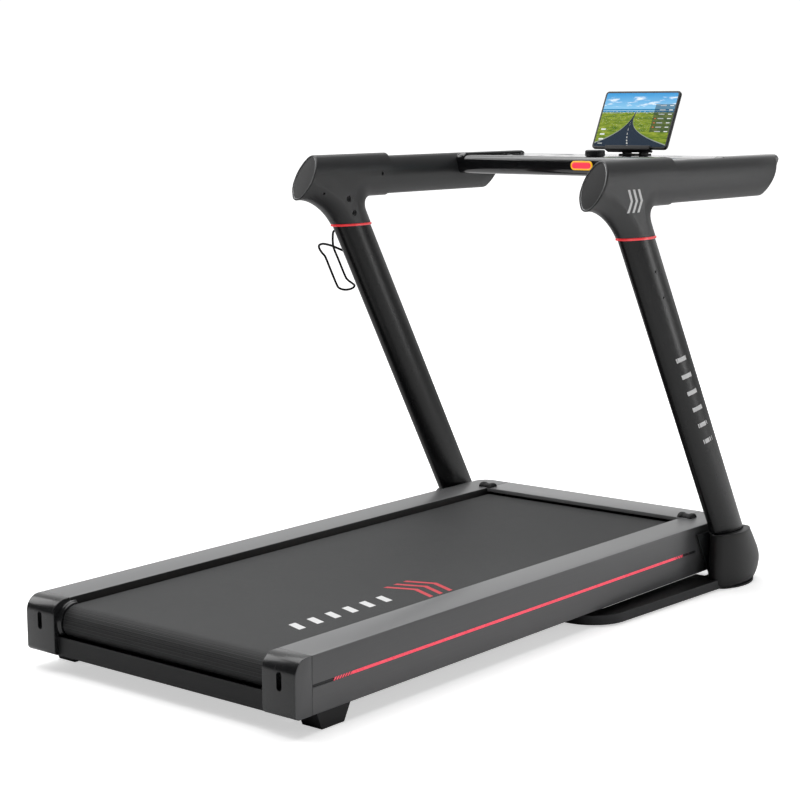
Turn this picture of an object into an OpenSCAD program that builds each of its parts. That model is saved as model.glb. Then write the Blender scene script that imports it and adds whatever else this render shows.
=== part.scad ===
// Folding motorised treadmill with a flat belt, oval uprights, straight handrails,
// a slab console with a tablet rest, and a deck that swings up between the uprights.
// Millimetres. X forward, Y to the user's left, Z up. The origin is on the floor,
// under the middle pad of the base frame's rear cross tube.

/* [Deck] */
// Overall deck width over both side rails
deck_w = 700; // [640:1:760]
// Side rail length, ahead of the rear caps
deck_len = 1439; // [1400:1:1480]
// Side rail width seen from above
rail_w = 79; // [72:0.5:86]
// Height of the rail tops
rail_top = 140; // [132:0.5:146]
// Height of the rail undersides
rail_bot = 33.5; // [30:0.5:38]
// Rail wall thickness
rail_wall = 3; // [2:0.5:4]
// Length of the front cover from front to back
bar_w = 88; // [84:0.5:92]

/* [Belt and rollers] */
// Running belt width
belt_w = 520; // [500:1:530]
// Running belt thickness
belt_t = 2.5; // [1.5:0.1:3]
// Roller radius under the belt
roller_r = 30; // [28:0.5:31]
// Roller axis height
roller_z = 95; // [94:0.5:96]
// Rear roller position ahead of the rail ends
rear_roller_x = 38; // [36:0.5:42]
// Front roller position ahead of the rear rail ends
front_roller_x = 1338; // [1336:0.5:1340]
// Running board thickness
board_t = 17.8; // [15:0.1:18]

/* [Fold] */
// Fold axis position ahead of the rear rail ends
fold_x = 1385; // [1380:0.5:1390]
// Fold axis height
fold_z = 87; // [84:0.5:90]
// Fold pin radius
fold_pin_r = 8; // [6:0.5:10]

/* [Uprights] */
// Distance of each upright's axis from the centre plane
up_y = 380; // [378:0.5:384]
// Where the upright's axis meets the floor, ahead of the rear rail ends
up_foot_x = 1442.4; // [1430:0.5:1455]
// Backward lean of the uprights from vertical, degrees
up_tilt = 30; // [26:0.5:34]
// Upright half depth, fore and aft
up_a = 51; // [46:0.5:54]
// Upright half width
up_b = 22; // [20:0.5:24]
// Upright wall thickness
up_wall = 2.5; // [2:0.25:3]

/* [Handrails] */
// Height of the handrail axis
hr_z = 901.6; // [890:0.5:910]
// Handrail half height
hr_a = 43.5; // [40:0.5:45]
// Handrail half width
hr_b = 25; // [22:0.5:26]
// Half height of the bracket sleeve
sl_a = 48.5; // [46:0.5:50]
// Half width of the bracket sleeve
sl_b = 28; // [26:0.5:28]
// Height of the sleeve axis
sl_z = 903.5; // [900:0.5:906]

/* [Console] */
// User-facing edge of the console
con_x0 = 1346; // [1330:1:1360]
// Far edge of the console
con_x1 = 1598; // [1580:1:1610]
// Underside height
con_z0 = 897; // [890:0.5:900]
// Top height
con_z1 = 940; // [936:0.5:944]

/* [Base] */
// Outer half width of the base frame
base_y = 380; // [376:1:384]
// Rear edge of the base frame
base_x0 = 875; // [860:1:890]
// Front edge of the base frame
base_x1 = 1492; // [1486:1:1500]
// Base tube height
base_h = 20; // [18:1:22]
// Distance between the two threaded holes on an upright
boss_pitch = 64; // [64:1:64]

/* [Hidden] */
x_org = 900;
$fn = 96;
hw = deck_w / 2;
rin = hw - rail_w;
board_top = roller_z + roller_r - 0.2;
boss_mid_z = 696.5;
motor_x = 1403;
motor_z = 90;
tab_p = [1537.5, 955];
tab_tilt = 25.6;
tab_hinge = [1537.5 + 19 * cos(25.6) + 22 * sin(25.6), 955 - 19 * sin(25.6) + 22 * cos(25.6)];
wheel_p = [1508, 26];

function ux(z) = up_foot_x - z * tan(up_tilt);

// ---- helpers ----
module placed() { translate([-x_org, 0, 0]) children(); }
module side(s) { if (s > 0) children(); else mirror([0, 1, 0]) children(); }
module ext_y(y0, y1) { translate([0, y1, 0]) rotate([90, 0, 0]) linear_extrude(y1 - y0) children(); }
module ext_x(x0, x1) { translate([x0, 0, 0]) rotate([90, 0, 90]) linear_extrude(x1 - x0) children(); }
module box(x0, x1, y0, y1, z0, z1) { translate([x0, y0, z0]) cube([x1 - x0, y1 - y0, z1 - z0]); }
module rod_y(x, z, y0, y1, r) { translate([x, y1, z]) rotate([90, 0, 0]) cylinder(h = y1 - y0, r = r); }
module rod_x(y, z, x0, x1, r) { translate([x0, y, z]) rotate([0, 90, 0]) cylinder(h = x1 - x0, r = r); }
module rrect(x0, y0, x1, y1, r) {
  translate([x0 + r, y0]) square([x1 - x0 - 2 * r, y1 - y0]);
  translate([x0, y0 + r]) square([x1 - x0, y1 - y0 - 2 * r]);
  for (x = [x0 + r, x1 - r]) for (y = [y0 + r, y1 - r]) translate([x, y]) circle(r);
}
// Oval with half lengths a (along x) and b, made of four tangent arcs
function oval_big(a, b, e) = (pow(a - e, 2) + b * b - e * e) / (2 * (b - e));
module oval(a, b, e) {
  f = oval_big(a, b, e);
  xt = (a - e) * f / (f - e);
  for (s = [-1, 1]) translate([s * (a - e), 0]) circle(e);
  intersection() {
    translate([0, b - f]) circle(f, $fn = 240);
    translate([0, f - b]) circle(f, $fn = 240);
    square([2 * xt, 2 * b], center = true);
  }
}
// The same oval as short flats, for the bracket castings
module oval_flats(a, b, e) {
  f = oval_big(a, b, e); m = 10; k = 20;
  al = atan2(f - b, a - e);
  polygon(concat(
    [for (i = [-m : m]) [a - e + e * cos(al * i / m), e * sin(al * i / m)]],
    [for (j = [1 : k - 1]) let (t = al + (180 - 2 * al) * j / k) [f * cos(t), f * sin(t) - (f - b)]],
    [for (i = [-m : m]) [e - a - e * cos(al * i / m), -e * sin(al * i / m)]],
    [for (j = [1 : k - 1]) let (t = al + (180 - 2 * al) * j / k) [-f * cos(t), (f - b) - f * sin(t)]]
  ));
}
// Everything the upright tube takes up, grown by g, between two heights
module upright_space(g, z0, z1) {
  intersection() {
    translate([up_foot_x, up_y, 0]) rotate([0, -up_tilt, 0]) translate([0, 0, -40])
      linear_extrude(1100) oval(up_a + g, up_b + g, 14 + g);
    box(700, 1600, 340, 420, z0, z1);
  }
}
module boss_at() {
  for (k = [-1, 1]) { z = boss_mid_z + k * boss_pitch / 2 * cos(up_tilt); translate([ux(z), 0, z]) children(); }
}
module cable_stay(p, q, r) { hull() { translate(p) sphere(r, $fn = 12); translate(q) sphere(r, $fn = 12); } }

// ---- base ----
module base_plan(e) {
  r0 = 85 - e; r1 = 60 - e;
  x0 = base_x0 + e; x1 = base_x1 - e; y = base_y - e;
  translate([x0 + r0, -y]) square([x1 - r1 - x0 - r0, 2 * y]);
  translate([x0, -y + r0]) square([x1 - x0, 2 * y - 2 * r0]);
  for (s = [-1, 1]) {
    translate([x0 + r0, s * (y - r0)]) circle(r0);
    translate([x1 - r1, s * (y - r1)]) circle(r1);
    translate([x1 - r1 - 1, s > 0 ? 0 : -(y - r1)]) square([r1 + 1, y - r1]);
    // the arms splay out towards the boots
    polygon([[960, s * (y - 30)], [960, s * y], [1326, s * (y + 19)], [1436, s * (y + 19)], [1450, s * (y + 5)], [1450, s * (y - 30)]]);
  }
}
module base_inner(e) {
  r0 = 35 + e;
  x0 = base_x0 + 50 - e; x1 = base_x1 - 28 + e; y = base_y - 50 + e;
  translate([x0 + r0, -y]) square([x1 - x0 - r0, 2 * y]);
  translate([x0, -y + r0]) square([x1 - x0, 2 * y - 2 * r0]);
  for (s = [-1, 1]) translate([x0 + r0, s * (y - r0)]) circle(r0);
}
// plan of the plate under each upright
module foot_plan(g) intersection() {
  translate([1394, 386]) oval(60 + g, 24 + g, 14 + g);
  translate([1300, 353]) square([200, 80]);
}
module base_frame() placed() color("#2a2c30") {
  difference() {
    union() {
      difference() {
        translate([0, 0, 4]) linear_extrude(base_h) difference() { base_plan(0); base_inner(0); }
        box(1326, base_x1 - 28, -hw - 2.6, hw + 2.6, 0, 40);
        // hollow of the rear tube, open where the arms stop under the boots
        translate([0, 0, 6]) linear_extrude(base_h - 4) intersection() {
          difference() { base_plan(2); base_inner(2); }
          translate([800, -420]) square([520, 840]);
        }
      }
      for (s = [-1, 1]) side(s) {
        box(1312, 1326, 330.5, 379.5, 4.5, 23.5);
        box(1326, 1464, 352.6, 372, 4, 10);
        translate([0, 0, 4]) linear_extrude(6) foot_plan(0);
        ext_y(353, 357.5) polygon([[ux(124) - 87, 124], [ux(124) + 60, 124], [ux(34) + 56, 34], [1478, 24], [1478, 4], [ux(24) - 87, 4], [ux(24) - 87, 24]]);
        // fork for a transport wheel
        for (y = [[244, 248], [272, 276]]) ext_y(y[0], y[1]) {
          translate([1480, 12]) square([28, 20]);
          translate([wheel_p[0], wheel_p[1]]) circle(10);
          translate([1480, 12]) square([20, 12]);
        }
      }
      // stubs that the uprights sleeve over, under the boots
      for (s = [-1, 1]) side(s) box(1370, 1430, 370, 390, 20, 98);
    }
    for (s = [-1, 1]) side(s) {
      rod_y(fold_x, fold_z, 350, 360, fold_pin_r + 0.02);
      rod_y(wheel_p[0], wheel_p[1], 240, 280, 5.02);
      rod_y(wheel_p[0], wheel_p[1], 249.4, 270.6, 22.5);
    }
  }
}
module floor_pads() placed() color("#17181a") {
  for (p = [[900, 0], [915, 240], [915, -240], [1100, 355], [1100, -355]]) translate([p[0], p[1], 0]) {
    cylinder(h = 4, r = 16);
  }
  for (s = [-1, 1]) side(s) linear_extrude(4) intersection() {
    translate([1394, 386]) oval(70, 33, 19);
    translate([1300, 352.7]) square([200, 80]);
  }
}
module boot_shape(g) {
  hull() {
    translate([ux(124) + 3.5, up_y + 6, 120 - g]) linear_extrude(4 + (g > 0 ? 1 : 0)) oval(67.5 - g, 34.5 - g, 18 - g);
    translate([1396.5, up_y + 6, 40]) linear_extrude(10) oval(91 - g, 37 - g, 20 - g);
    translate([1389, up_y + 6, 4.2 - g]) linear_extrude(3) oval(77 - g, 34 - g, 19 - g);
    translate([1391.5, up_y + 6, 14]) linear_extrude(4) oval(89 - g, 36.8 - g, 20 - g);
  }
}
module boot() {
  difference() {
    boot_shape(0);
    intersection() { boot_shape(3.2); box(1200, 1600, 300, 460, -5, 120.8); }
    box(1200, 1600, 300, 352.7, -10, 200);
    box(1290, 1600, 350, 357.8, -10, 121);
    ext_y(350, 357.8) polygon([[ux(130) - 88, 130], [ux(130) + 62, 130], [ux(20) + 62, 20], [1500, -2], [ux(20) - 88, -2], [ux(20) - 88, 20]]);
    upright_space(0.25, 40, 140);
    translate([0, 0, 3.9]) linear_extrude(base_h + 0.3) difference() { base_plan(-0.2); base_inner(-0.2); }
    translate([0, 0, 3.9]) linear_extrude(6.4) foot_plan(0.3);
    box(1320, 1470, 350, 372.3, 3.9, 10.3);
    box(1311, 1328, 330, 380, 4, 24.2);
  }
}
module boot_left() placed() color("#202124") side(1) boot();
module boot_right() placed() color("#202124") side(-1) boot();

module fold_pins() placed() color("#9a9da1") for (s = [-1, 1]) side(s) {
  rod_y(fold_x, fold_z, 324, 361.5, fold_pin_r);
  rod_y(fold_x, fold_z, 361.5, 367, 12);
}
module wheel_axles() placed() color("#9a9da1") for (s = [-1, 1]) side(s) {
  rod_y(wheel_p[0], wheel_p[1], 240.5, 279.5, 5);
  rod_y(wheel_p[0], wheel_p[1], 239, 243, 7.5);
  rod_y(wheel_p[0], wheel_p[1], 277, 281, 7.5);
}
module wheel(s) placed() color("#141416") side(s) difference() {
  translate([wheel_p[0], 250.5, wheel_p[1]]) rotate([-90, 0, 0]) rotate_extrude() polygon([[5.06, 0], [19, 0], [21, 2], [21, 17], [19, 19], [5.06, 19]]);
  for (y = [250, 266.5]) translate([wheel_p[0], y, wheel_p[1]]) rotate([-90, 0, 0]) difference() { cylinder(h = 3.5, r = 16); cylinder(h = 3.5, r = 9); }
}
module wheel_left() wheel(1);
module wheel_right() wheel(-1);

// ---- uprights and brackets ----
module upright() {
  difference() {
    union() {
      difference() {
        upright_space(0, 48, 866);
        upright_space(-up_wall, 0, 900);
      }
      // two rivet nuts behind the outer face
      intersection() {
        upright_space(-1, 600, 800);
        boss_at() rod_y(0, 0, up_y + 12, up_y + 21.5, 5);
      }
    }
    boss_at() rod_y(0, 0, up_y + 5, up_y + 30, 2.5);
    rod_y(fold_x, fold_z, 350, 370, 13);
    bracket_screw_at() rod_y(0, 0, 350, 372, 2.6);
  }
}
module upright_left() placed() color("#2b2c2f") side(1) upright();
module upright_right() placed() color("#2b2c2f") side(-1) upright();

module ring() difference() {
  translate([ux(794), up_y, 791.5]) linear_extrude(5) oval(62, 26, 17);
  upright_space(0.15, 780, 805);
}
module ring_left() placed() color("#e23c3c") side(1) ring();
module ring_right() placed() color("#e23c3c") side(-1) ring();

module bracket_screw_at() { for (p = [[945, 853], [965, 821]]) translate([p[0], 0, p[1]]) children(); }
module sleeve_end(d) { translate([800 + d, 0, 856]) rotate([0, 30.26, 0]) translate([-300, 300, -300]) cube([300, 160, 600]); }
module sleeve_oval(a, b, e) { rotate(90) oval(a, b, e); }
module sleeve_flats(a, b, e) { rotate(90) oval_flats(a, b, e); }
module bracket() difference() {
  union() {
    translate([0, up_y, sl_z]) ext_x(770, 1078) sleeve_flats(sl_a, sl_b, 17);
    hull() {
      translate([ux(796.6), up_y, 796.6]) linear_extrude(0.5) oval_flats(62, 26, 17);
      translate([0, up_y, sl_z - 30]) ext_x(872, 1032) sleeve_flats(18, 24, 17.5);
    }
    hull() {
      translate([ux(826), up_y, 820]) linear_extrude(0.5) oval_flats(64, 26, 17);
      translate([0, up_y, sl_z - 30]) ext_x(846, 1048) sleeve_flats(18, 22, 17.5);
    }
  }
  translate([0, up_y, sl_z]) ext_x(700, 1200) sleeve_flats(sl_a - 2.5, sl_b - 2.5, 14.5);
  upright_space(0.2, 780, 870);
  sleeve_end(0);
  bracket_screw_at() { rod_y(0, 0, 340, 356, 4.7); rod_y(0, 0, 340, 364, 2.6); }
}
module bracket_left() placed() color("#35373a") side(1) bracket();
module bracket_right() placed() color("#35373a") side(-1) bracket();
module bracket_screws() placed() color("#8d9094") for (s = [-1, 1]) side(s) bracket_screw_at() difference() {
  union() { rod_y(0, 0, 352.8, 356, 4.5); rod_y(0, 0, 356, 363, 2.5); }
  translate([0, 354.8, 0]) rotate([90, 0, 0]) cylinder(h = 3, r = 2.3, $fn = 6);
}
module bracket_cap() difference() {
  translate([0, up_y, sl_z]) ext_x(770, 900) sleeve_flats(sl_a - 2.6, sl_b - 2.6, 14.4);
  sleeve_end(1.4);
  translate([7, 0, 0]) translate([800, 0, 856]) rotate([0, 30.26, 0]) translate([0, 300, -300]) cube([300, 160, 600]);
}
module bracket_cap_left() placed() color("#1c1d1f") side(1) bracket_cap();
module bracket_cap_right() placed() color("#1c1d1f") side(-1) bracket_cap();

// ---- handrails ----
module rail_end(d) { translate([1475 + d, 0, 858]) rotate([0, 34.6, 0]) translate([0, 300, -300]) cube([400, 160, 600]); }
module handrail() difference() {
  translate([0, up_y, hr_z]) ext_x(1012, 1560) sleeve_oval(hr_a, hr_b, 15);
  translate([0, up_y, hr_z]) ext_x(1000, 1600) sleeve_oval(hr_a - 2.5, hr_b - 2.5, 12.5);
  rail_end(0);
}
module handrail_left() placed() color("#35373a") side(1) handrail();
module handrail_right() placed() color("#35373a") side(-1) handrail();
module handrail_plugs() placed() color("#1c1d1f") for (s = [-1, 1]) side(s) difference() {
  translate([0, up_y, hr_z]) ext_x(1420, 1560) sleeve_oval(hr_a - 2.6, hr_b - 2.6, 12.4);
  rail_end(-0.8);
  translate([-8, 0, 0]) translate([1475, 0, 858]) rotate([0, 34.6, 0]) translate([-400, 300, -300]) cube([400, 160, 600]);
}

// ---- console ----
module key_outline(g) { for (s = [-1, 1]) translate([s * 18.75, 0]) circle(10.5 + g); translate([-18.75, -10.5 - g]) square([37.5, 21 + 2 * g]); }
module console_tray() placed() color("#101113") difference() {
  union() {
    difference() {
      ext_y(-368, 368) rrect(con_x0, con_z0, con_x1, con_z1, 14);
      ext_y(-342, 342) rrect(con_x0 + 3, con_z0 + 3, con_x1 - 3, con_z1 - 6, 11);
    }
    box(con_x0 + 1.5, con_x0 + 12, -36, 36, con_z0 + 2, con_z1 - 5);
    for (x = [1400, 1470]) for (y = [-100, 100]) translate([x, y, con_z0 + 1]) cylinder(h = 12, r = 5);
  }
  box(con_x0 + 12, con_x1 - 10, -338, 338, con_z1 - 3, con_z1 + 1);
  for (s = [-1, 1]) side(s) translate([0, up_y, hr_z]) ext_x(1300, 1650) sleeve_oval(hr_a + 0.3, hr_b + 0.3, 15.3);
  translate([0, 0, 921]) ext_x(con_x0 - 5, con_x0 + 4.2) key_outline(0.6);
  rod_x(0, 921, con_x0, con_x0 + 9, 5.15);
  translate([1400, 0, 900]) cylinder(h = 60, r = 6.07);
}
module console_glass() placed() color("#8f959c") difference() {
  box(con_x0 + 12.2, con_x1 - 10.2, -337.8, 337.8, con_z1 - 2.9, con_z1);
  translate([1400, 0, 900]) cylinder(h = 60, r = 6.5);
}
module console_board() placed() color("#1f5a3a") {
  difference() {
    union() {
      box(1390, 1480, -112, 112, con_z0 + 13, con_z0 + 14.6);
      box(1440, 1462, -40, 40, con_z0 + 14.6, con_z0 + 18);
      box(1425, 1437, 60, 95, con_z0 + 14.6, con_z0 + 22);
    }
    translate([1400, 0, 900]) cylinder(h = 60, r = 9);
  }
}
module safety_key() placed() color("#ff3050") union() {
  translate([0, 0, 921]) ext_x(con_x0 - 2.5, con_x0 + 4) key_outline(0);
  rod_x(0, 921, con_x0 + 4, con_x0 + 8.5, 5);
}
module dial() placed() color("#121315") translate([1400, 0, 0]) difference() {
  union() {
    translate([0, 0, con_z1 + 0.4]) rotate_extrude() polygon([[0, 0], [21.5, 0], [23, 1.5], [23, 13.2], [21.6, 14.6], [0, 14.6]]);
    translate([0, 0, 922]) cylinder(h = 20, r = 6);
  }
  for (a = [0 : 15 : 345]) rotate(a) translate([24.2, 0, con_z1 + 3]) cylinder(h = 9, r = 2, $fn = 24);
}
module tablet_stand() placed() color("#141517") difference() {
  union() {
    box(1546, 1590, -32, 32, con_z1, con_z1 + 2.5);
    for (y = [[-27, -19.2], [19.2, 27]]) ext_y(y[0], y[1]) {
      translate([tab_hinge[0], tab_hinge[1]]) circle(6.6);
      polygon([[tab_hinge[0] - 5, tab_hinge[1] - 4], [tab_hinge[0] + 6.5, tab_hinge[1] - 1], [1586, con_z1 + 2], [1554, con_z1 + 2]]);
    }
    rod_y(tab_hinge[0], tab_hinge[1], -27, 27, 3);
  }
}
module tab_at() { translate([tab_p[0], 0, tab_p[1]]) rotate([0, tab_tilt, 0]) children(); }
module tablet() placed() color("#0c0d0f") tab_at() translate([8, 0, 0]) rotate([0, -90, 0]) linear_extrude(8) rrect(0, -104, 148, 104, 8);
module tablet_cradle() placed() color("#17181a") tab_at() difference() {
  union() {
    box(-6, 12, -62, 62, -5, -0.05);
    box(-6, -2.5, -62, 62, -5, 6);
    box(8.1, 12, -54, 54, -5, 112);
    box(11.9, 19, -18, 18, 14, 30);
    translate([19, 18.9, 22]) rotate([90, 0, 0]) cylinder(h = 37.8, r = 8);
  }
  translate([19, 30, 22]) rotate([90, 0, 0]) cylinder(h = 60, r = 3.06);
}

// ---- bottle cage on the left upright ----
module cage_local() { translate([ux(boss_mid_z), up_y + up_b, boss_mid_z]) rotate([0, -up_tilt, 0]) children(); }
module cage_path(pts) { for (i = [0 : len(pts) - 2]) cable_stay(pts[i], pts[i + 1], 2.6); }
module bottle_cage() placed() color("#1a1b1d") cage_local() {
  difference() {
    translate([-10, 0.1, -46]) cube([20, 3, 92]);
    for (k = [-1, 1]) translate([0, 10, k * boss_pitch / 2]) rotate([90, 0, 0]) cylinder(h = 20, r = 2.8);
  }
  // one wire on each side of the bottle, joined by the shelf under its foot
  for (s = [-1, 1]) cage_path([[s * 7.5, 3.5, 34], [s * 15, 6, 42], [s * 22, 13, 53.4], [s * 26, 20.6, 61.3], [s * 28.5, 36, 70], [s * 29, 54.7, 74],
    [s * 29, 65, 73], [s * 29, 74.2, 68.6], [s * 27, 79.4, 58.4], [s * 22, 82.2, 43.6], [s * 17.5, 82, 29.3], [s * 17.5, 82, -48],
    [s * 17.2, 78, -59], [s * 14, 66, -64.5], [s * 8, 54, -65.5], [0, 50, -65.5]]);
}
module cage_screws() placed() color("#8d9094") cage_local() for (k = [-1, 1]) translate([0, 0, k * boss_pitch / 2]) difference() {
  union() {
    translate([0, 4, 0]) rotate([90, 0, 0]) cylinder(h = 13, r = 2.45);
    translate([0, 6, 0]) rotate([90, 0, 0]) cylinder(h = 2.8, r = 4.5);
  }
  translate([0, 6.5, 0]) rotate([90, 0, 0]) cylinder(h = 2.2, r = 2, $fn = 6);
}

// ---- deck ----
module rail() {
  difference() {
    union() {
      intersection() {
        ext_x(34, deck_len) difference() {
          union() {
            translate([rin, rail_bot]) square([rail_w - 4, rail_top - rail_bot]);
            translate([rin, rail_bot]) square([rail_w, rail_top - rail_bot - 4]);
            translate([hw - 4, rail_top - 4]) circle(4);
          }
        }
        // the front corner is rounded in plan
        linear_extrude(300) union() {
          translate([0, 0]) square([deck_len - 34, hw]);
          square([deck_len, hw - 34]);
          translate([deck_len - 34, hw - 34]) circle(34);
        }
      }
      // inner ledge for the cushions
      box(90, 1290, rin - 28, rin + 1, 84, 88);
    }
    // hollow
    difference() {
      box(20, deck_len - 3, rin + rail_wall, hw - rail_wall, rail_bot + 3, rail_top - 3);
      rod_y(fold_x, fold_z, hw - 22, hw, 16);
      // keeps a wall around the rounded front corner
      difference() {
        box(deck_len - 40, deck_len, hw - 40, hw, 0, 200);
        translate([deck_len - 37, hw - 37, 0]) cylinder(h = 200, r = 34);
      }
    }
    rod_y(fold_x, fold_z, hw - 30, hw + 5, fold_pin_r + 0.06);
    // groove for the side stripe
    box(34, 1289, hw - 1.5, hw + 1, 82.5, 88.5);
    // slot for the rear axle and hole for the front axle
    box(30, 58, rin - 1, rin + 5, roller_z - 7.6, roller_z + 7.6);
    rod_y(front_roller_x, roller_z, rin - 1, rin + 5, 7.56);
  }
}
module rail_left() placed() color("#9b9ea3") side(1) rail();
module rail_right() placed() color("#9b9ea3") side(-1) rail();
module stripe() box(90, 1262, hw - 1.45, hw - 0.2, 82.7, 88.3);
module stripe_left() placed() color("#ff4660") side(1) stripe();
module stripe_right() placed() color("#ff4660") side(-1) stripe();

module cap_profile(g) {
  x0 = -8 + g; x1 = 34; z0 = rail_bot + g; z1 = rail_top - g;
  rt = 30 - g; rb = 10 - g;
  intersection() {
    translate([x0, z0]) square([x1 - x0, z1 - z0]);
    union() {
      translate([x0 + rt, z0]) square([x1 - x0 - rt, z1 - z0]);
      translate([x0 + rb, z0]) square([rt - rb + 1, rb + 1]);
      translate([x0, z0 + rb]) square([rt + 1, z1 - z0 - rt - rb]);
      translate([x0 + rt, z1 - rt]) circle(rt);
      translate([x0 + rb, z0 + rb]) circle(rb);
    }
  }
}
module rear_cap() difference() {
  ext_y(rin, hw) cap_profile(0);
  difference() {
    ext_y(rin + 3, hw - 3) union() { cap_profile(3); translate([30, rail_bot + 3]) square([10, rail_top - rail_bot - 6]); }
    box(20, 26, rin, hw, 0, 200);
  }
  // adjuster slot in the rear face, adjuster hole and axle slot
  translate([0, 311.5, 97]) ext_x(-20, 0) union() { square([12, 22], center = true); for (k = [-11, 11]) translate([0, k]) circle(6); }
  rod_x(311.5, roller_z, 10, 40, 4.1);
  box(29, 40, rin - 1, rin + 5, roller_z - 7.6, roller_z + 7.6);
}
module rear_cap_left() placed() color("#26282b") side(1) rear_cap();
module rear_cap_right() placed() color("#26282b") side(-1) rear_cap();

module front_cover() placed() color("#b0b3b8") difference() {
  union() {
    box(deck_len - bar_w, deck_len, -rin + 0.1, rin - 0.1, rail_top - 3, rail_top);
    box(deck_len - 3, deck_len, -rin + 0.1, rin - 0.1, rail_bot + 3.1, rail_top);
    box(deck_len - bar_w, deck_len - bar_w + 3, -rin + 0.1, rin - 0.1, rail_top - 9, rail_top);
  }
  box(deck_len - 10, deck_len + 5, 144.8, 215.2, 59.8, 90.2);
}
module front_tray() placed() color("#3a3d42") difference() {
  union() {
    box(1300, deck_len, -rin + 0.1, rin - 0.1, rail_bot, rail_bot + 3);
    box(1302, 1334, -rin + 0.1, rin - 0.1, rail_bot + 3, 57.5);
    box(deck_len - 6, deck_len - 3.1, -rin + 0.1, rin - 0.1, rail_bot + 3, 56);
    // motor saddle and front plate
    box(1388, 1418, -240, -140, rail_bot + 3, 66);
    box(1386, 1420, -262, -257.5, rail_bot + 3, 66);
    // controller posts
    for (x = [1384, 1424]) for (y = [-70, 70]) translate([x, y, rail_bot + 3]) cylinder(h = 6, r = 4);
  }
  box(1306, 1330, -rin + 6, rin - 6, rail_bot + 3.5, 54.5);
  rod_y(motor_x, motor_z, -245, -135, 28.05);
}
module cross_tubes() placed() color("#3a3d42") for (x = [150, 520, 890, 1180]) difference() {
  box(x, x + 40, -rin + 0.05, rin - 0.05, 68, 83.9);
  box(x + 2, x + 38, -rin, rin, 70, 81.9);
}
module running_board() placed() color("#5b4a3a") box(84, 1290, -266, 266, board_top - board_t, board_top);
module deck_cushions() placed() color("#222326") for (s = [-1, 1]) side(s) for (x = [150, 430, 710, 990, 1250])
  translate([x, 255, 88]) cylinder(h = board_top - board_t - 88, r = 10);
module belt_outline(r) {
  for (x = [rear_roller_x, front_roller_x]) translate([x, roller_z]) circle(r);
  translate([rear_roller_x, roller_z - r]) square([front_roller_x - rear_roller_x, 2 * r]);
}
module running_belt() placed() color("#3c3e41") ext_y(-belt_w / 2, belt_w / 2) difference() { belt_outline(roller_r + belt_t); belt_outline(roller_r); }
module rear_panel() placed() color("#1b1c1e") union() {
  box(1.5, 4.5, -rin + 0.1, rin - 0.1, rail_bot, 70);
  box(1.5, 60, -rin + 0.1, rin - 0.1, rail_bot, rail_bot + 3);
  box(4.4, 52, -rin + 0.1, rin - 0.1, 56.5, 59);
  for (y = [-240, -120, 0, 120, 240]) ext_y(y - 1.5, y + 1.5) polygon([[4, rail_bot + 2], [40, rail_bot + 2], [40, 44], [12, 52], [4, 60]]);
}
module rear_feet() placed() color("#141517") for (s = [-1, 1]) side(s) ext_y(298, 344) polygon([[64, 0], [122, 0], [140, rail_bot], [50, rail_bot]]);
module fold_bumpers() placed() color("#1a1b1d") for (s = [-1, 1]) side(s) intersection() {
  translate([1366, 262, rail_top - 2]) rotate([-90, 0, 0]) rotate_extrude() polygon([[0, 0], [9.5, 0], [11.5, 2], [11.5, 24], [14.5, 26], [14.5, 34], [12.5, 36], [0, 36]]);
  box(1300, 1430, 240, 340, rail_top, rail_top + 30);
}

// ---- rollers and drive ----
module drum(x, y0, y1) {
  difference() {
    rod_y(x, roller_z, y0, y1, roller_r - 0.05);
    rod_y(x, roller_z, y0 + 12, y1 - 12, roller_r - 4);
    rod_y(x, roller_z, y0 - 1, y1 + 1, 7.56);
  }
}
module front_roller() placed() color("#8d9094") union() {
  drum(front_roller_x, -262, 262);
  difference() {
    translate([front_roller_x, -261.9, roller_z]) rotate([90, 0, 0]) rotate_extrude()
      polygon([[7.56, 0], [27.5, 0], [27.5, 1.2], [26, 1.2], [26, 7], [27.5, 7], [27.5, 8.2], [7.56, 8.2]]);
    rod_y(front_roller_x, roller_z, -280, -250, 7.56);
  }
}
module rear_roller() placed() color("#8d9094") drum(rear_roller_x, -262, 262);
module front_axle() placed() color("#a5a8ac") rod_y(front_roller_x, roller_z, -276, 276, 7.5);
module rear_axle() placed() color("#a5a8ac") difference() {
  rod_y(rear_roller_x, roller_z, -322, 322, 7.5);
  for (s = [-1, 1]) rod_x(s * 311.5, roller_z, 20, 60, 4.05);
}
module tension_bolts() placed() color("#8d9094") for (s = [-1, 1]) difference() {
  union() {
    rod_x(s * 311.5, roller_z, 12, 20, 6.5);
    rod_x(s * 311.5, roller_z, 20, 62, 4);
  }
  translate([11, s * 311.5, roller_z]) rotate([0, 90, 0]) cylinder(h = 6, r = 3.4, $fn = 6);
}
module drive_motor() placed() color("#2f3236") difference() {
  union() {
    rod_y(motor_x, motor_z, -257, -110, 28);
    for (a = [0 : 30 : 330]) translate([motor_x, -125, motor_z]) rotate([0, a, 0]) translate([-1, -110, 26]) cube([2, 110, 3.2]);
  }
  rod_y(motor_x, motor_z, -258, -190, 5.08);
  rod_y(motor_x, motor_z, -195, -130, 18);
  box(1380, 1426, -242, -138, 50, 66.1);
}
module motor_rotor() placed() color("#a5a8ac") union() {
  rod_y(motor_x, motor_z, -270, -140, 5);
  rod_y(motor_x, motor_z, -192, -135, 17.5);
  difference() {
    translate([motor_x, -262, motor_z]) rotate([90, 0, 0]) rotate_extrude()
      polygon([[5, 0], [11.5, 0], [11.5, 1.2], [10, 1.2], [10, 7], [11.5, 7], [11.5, 8], [5, 8]]);
  }
}
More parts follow.
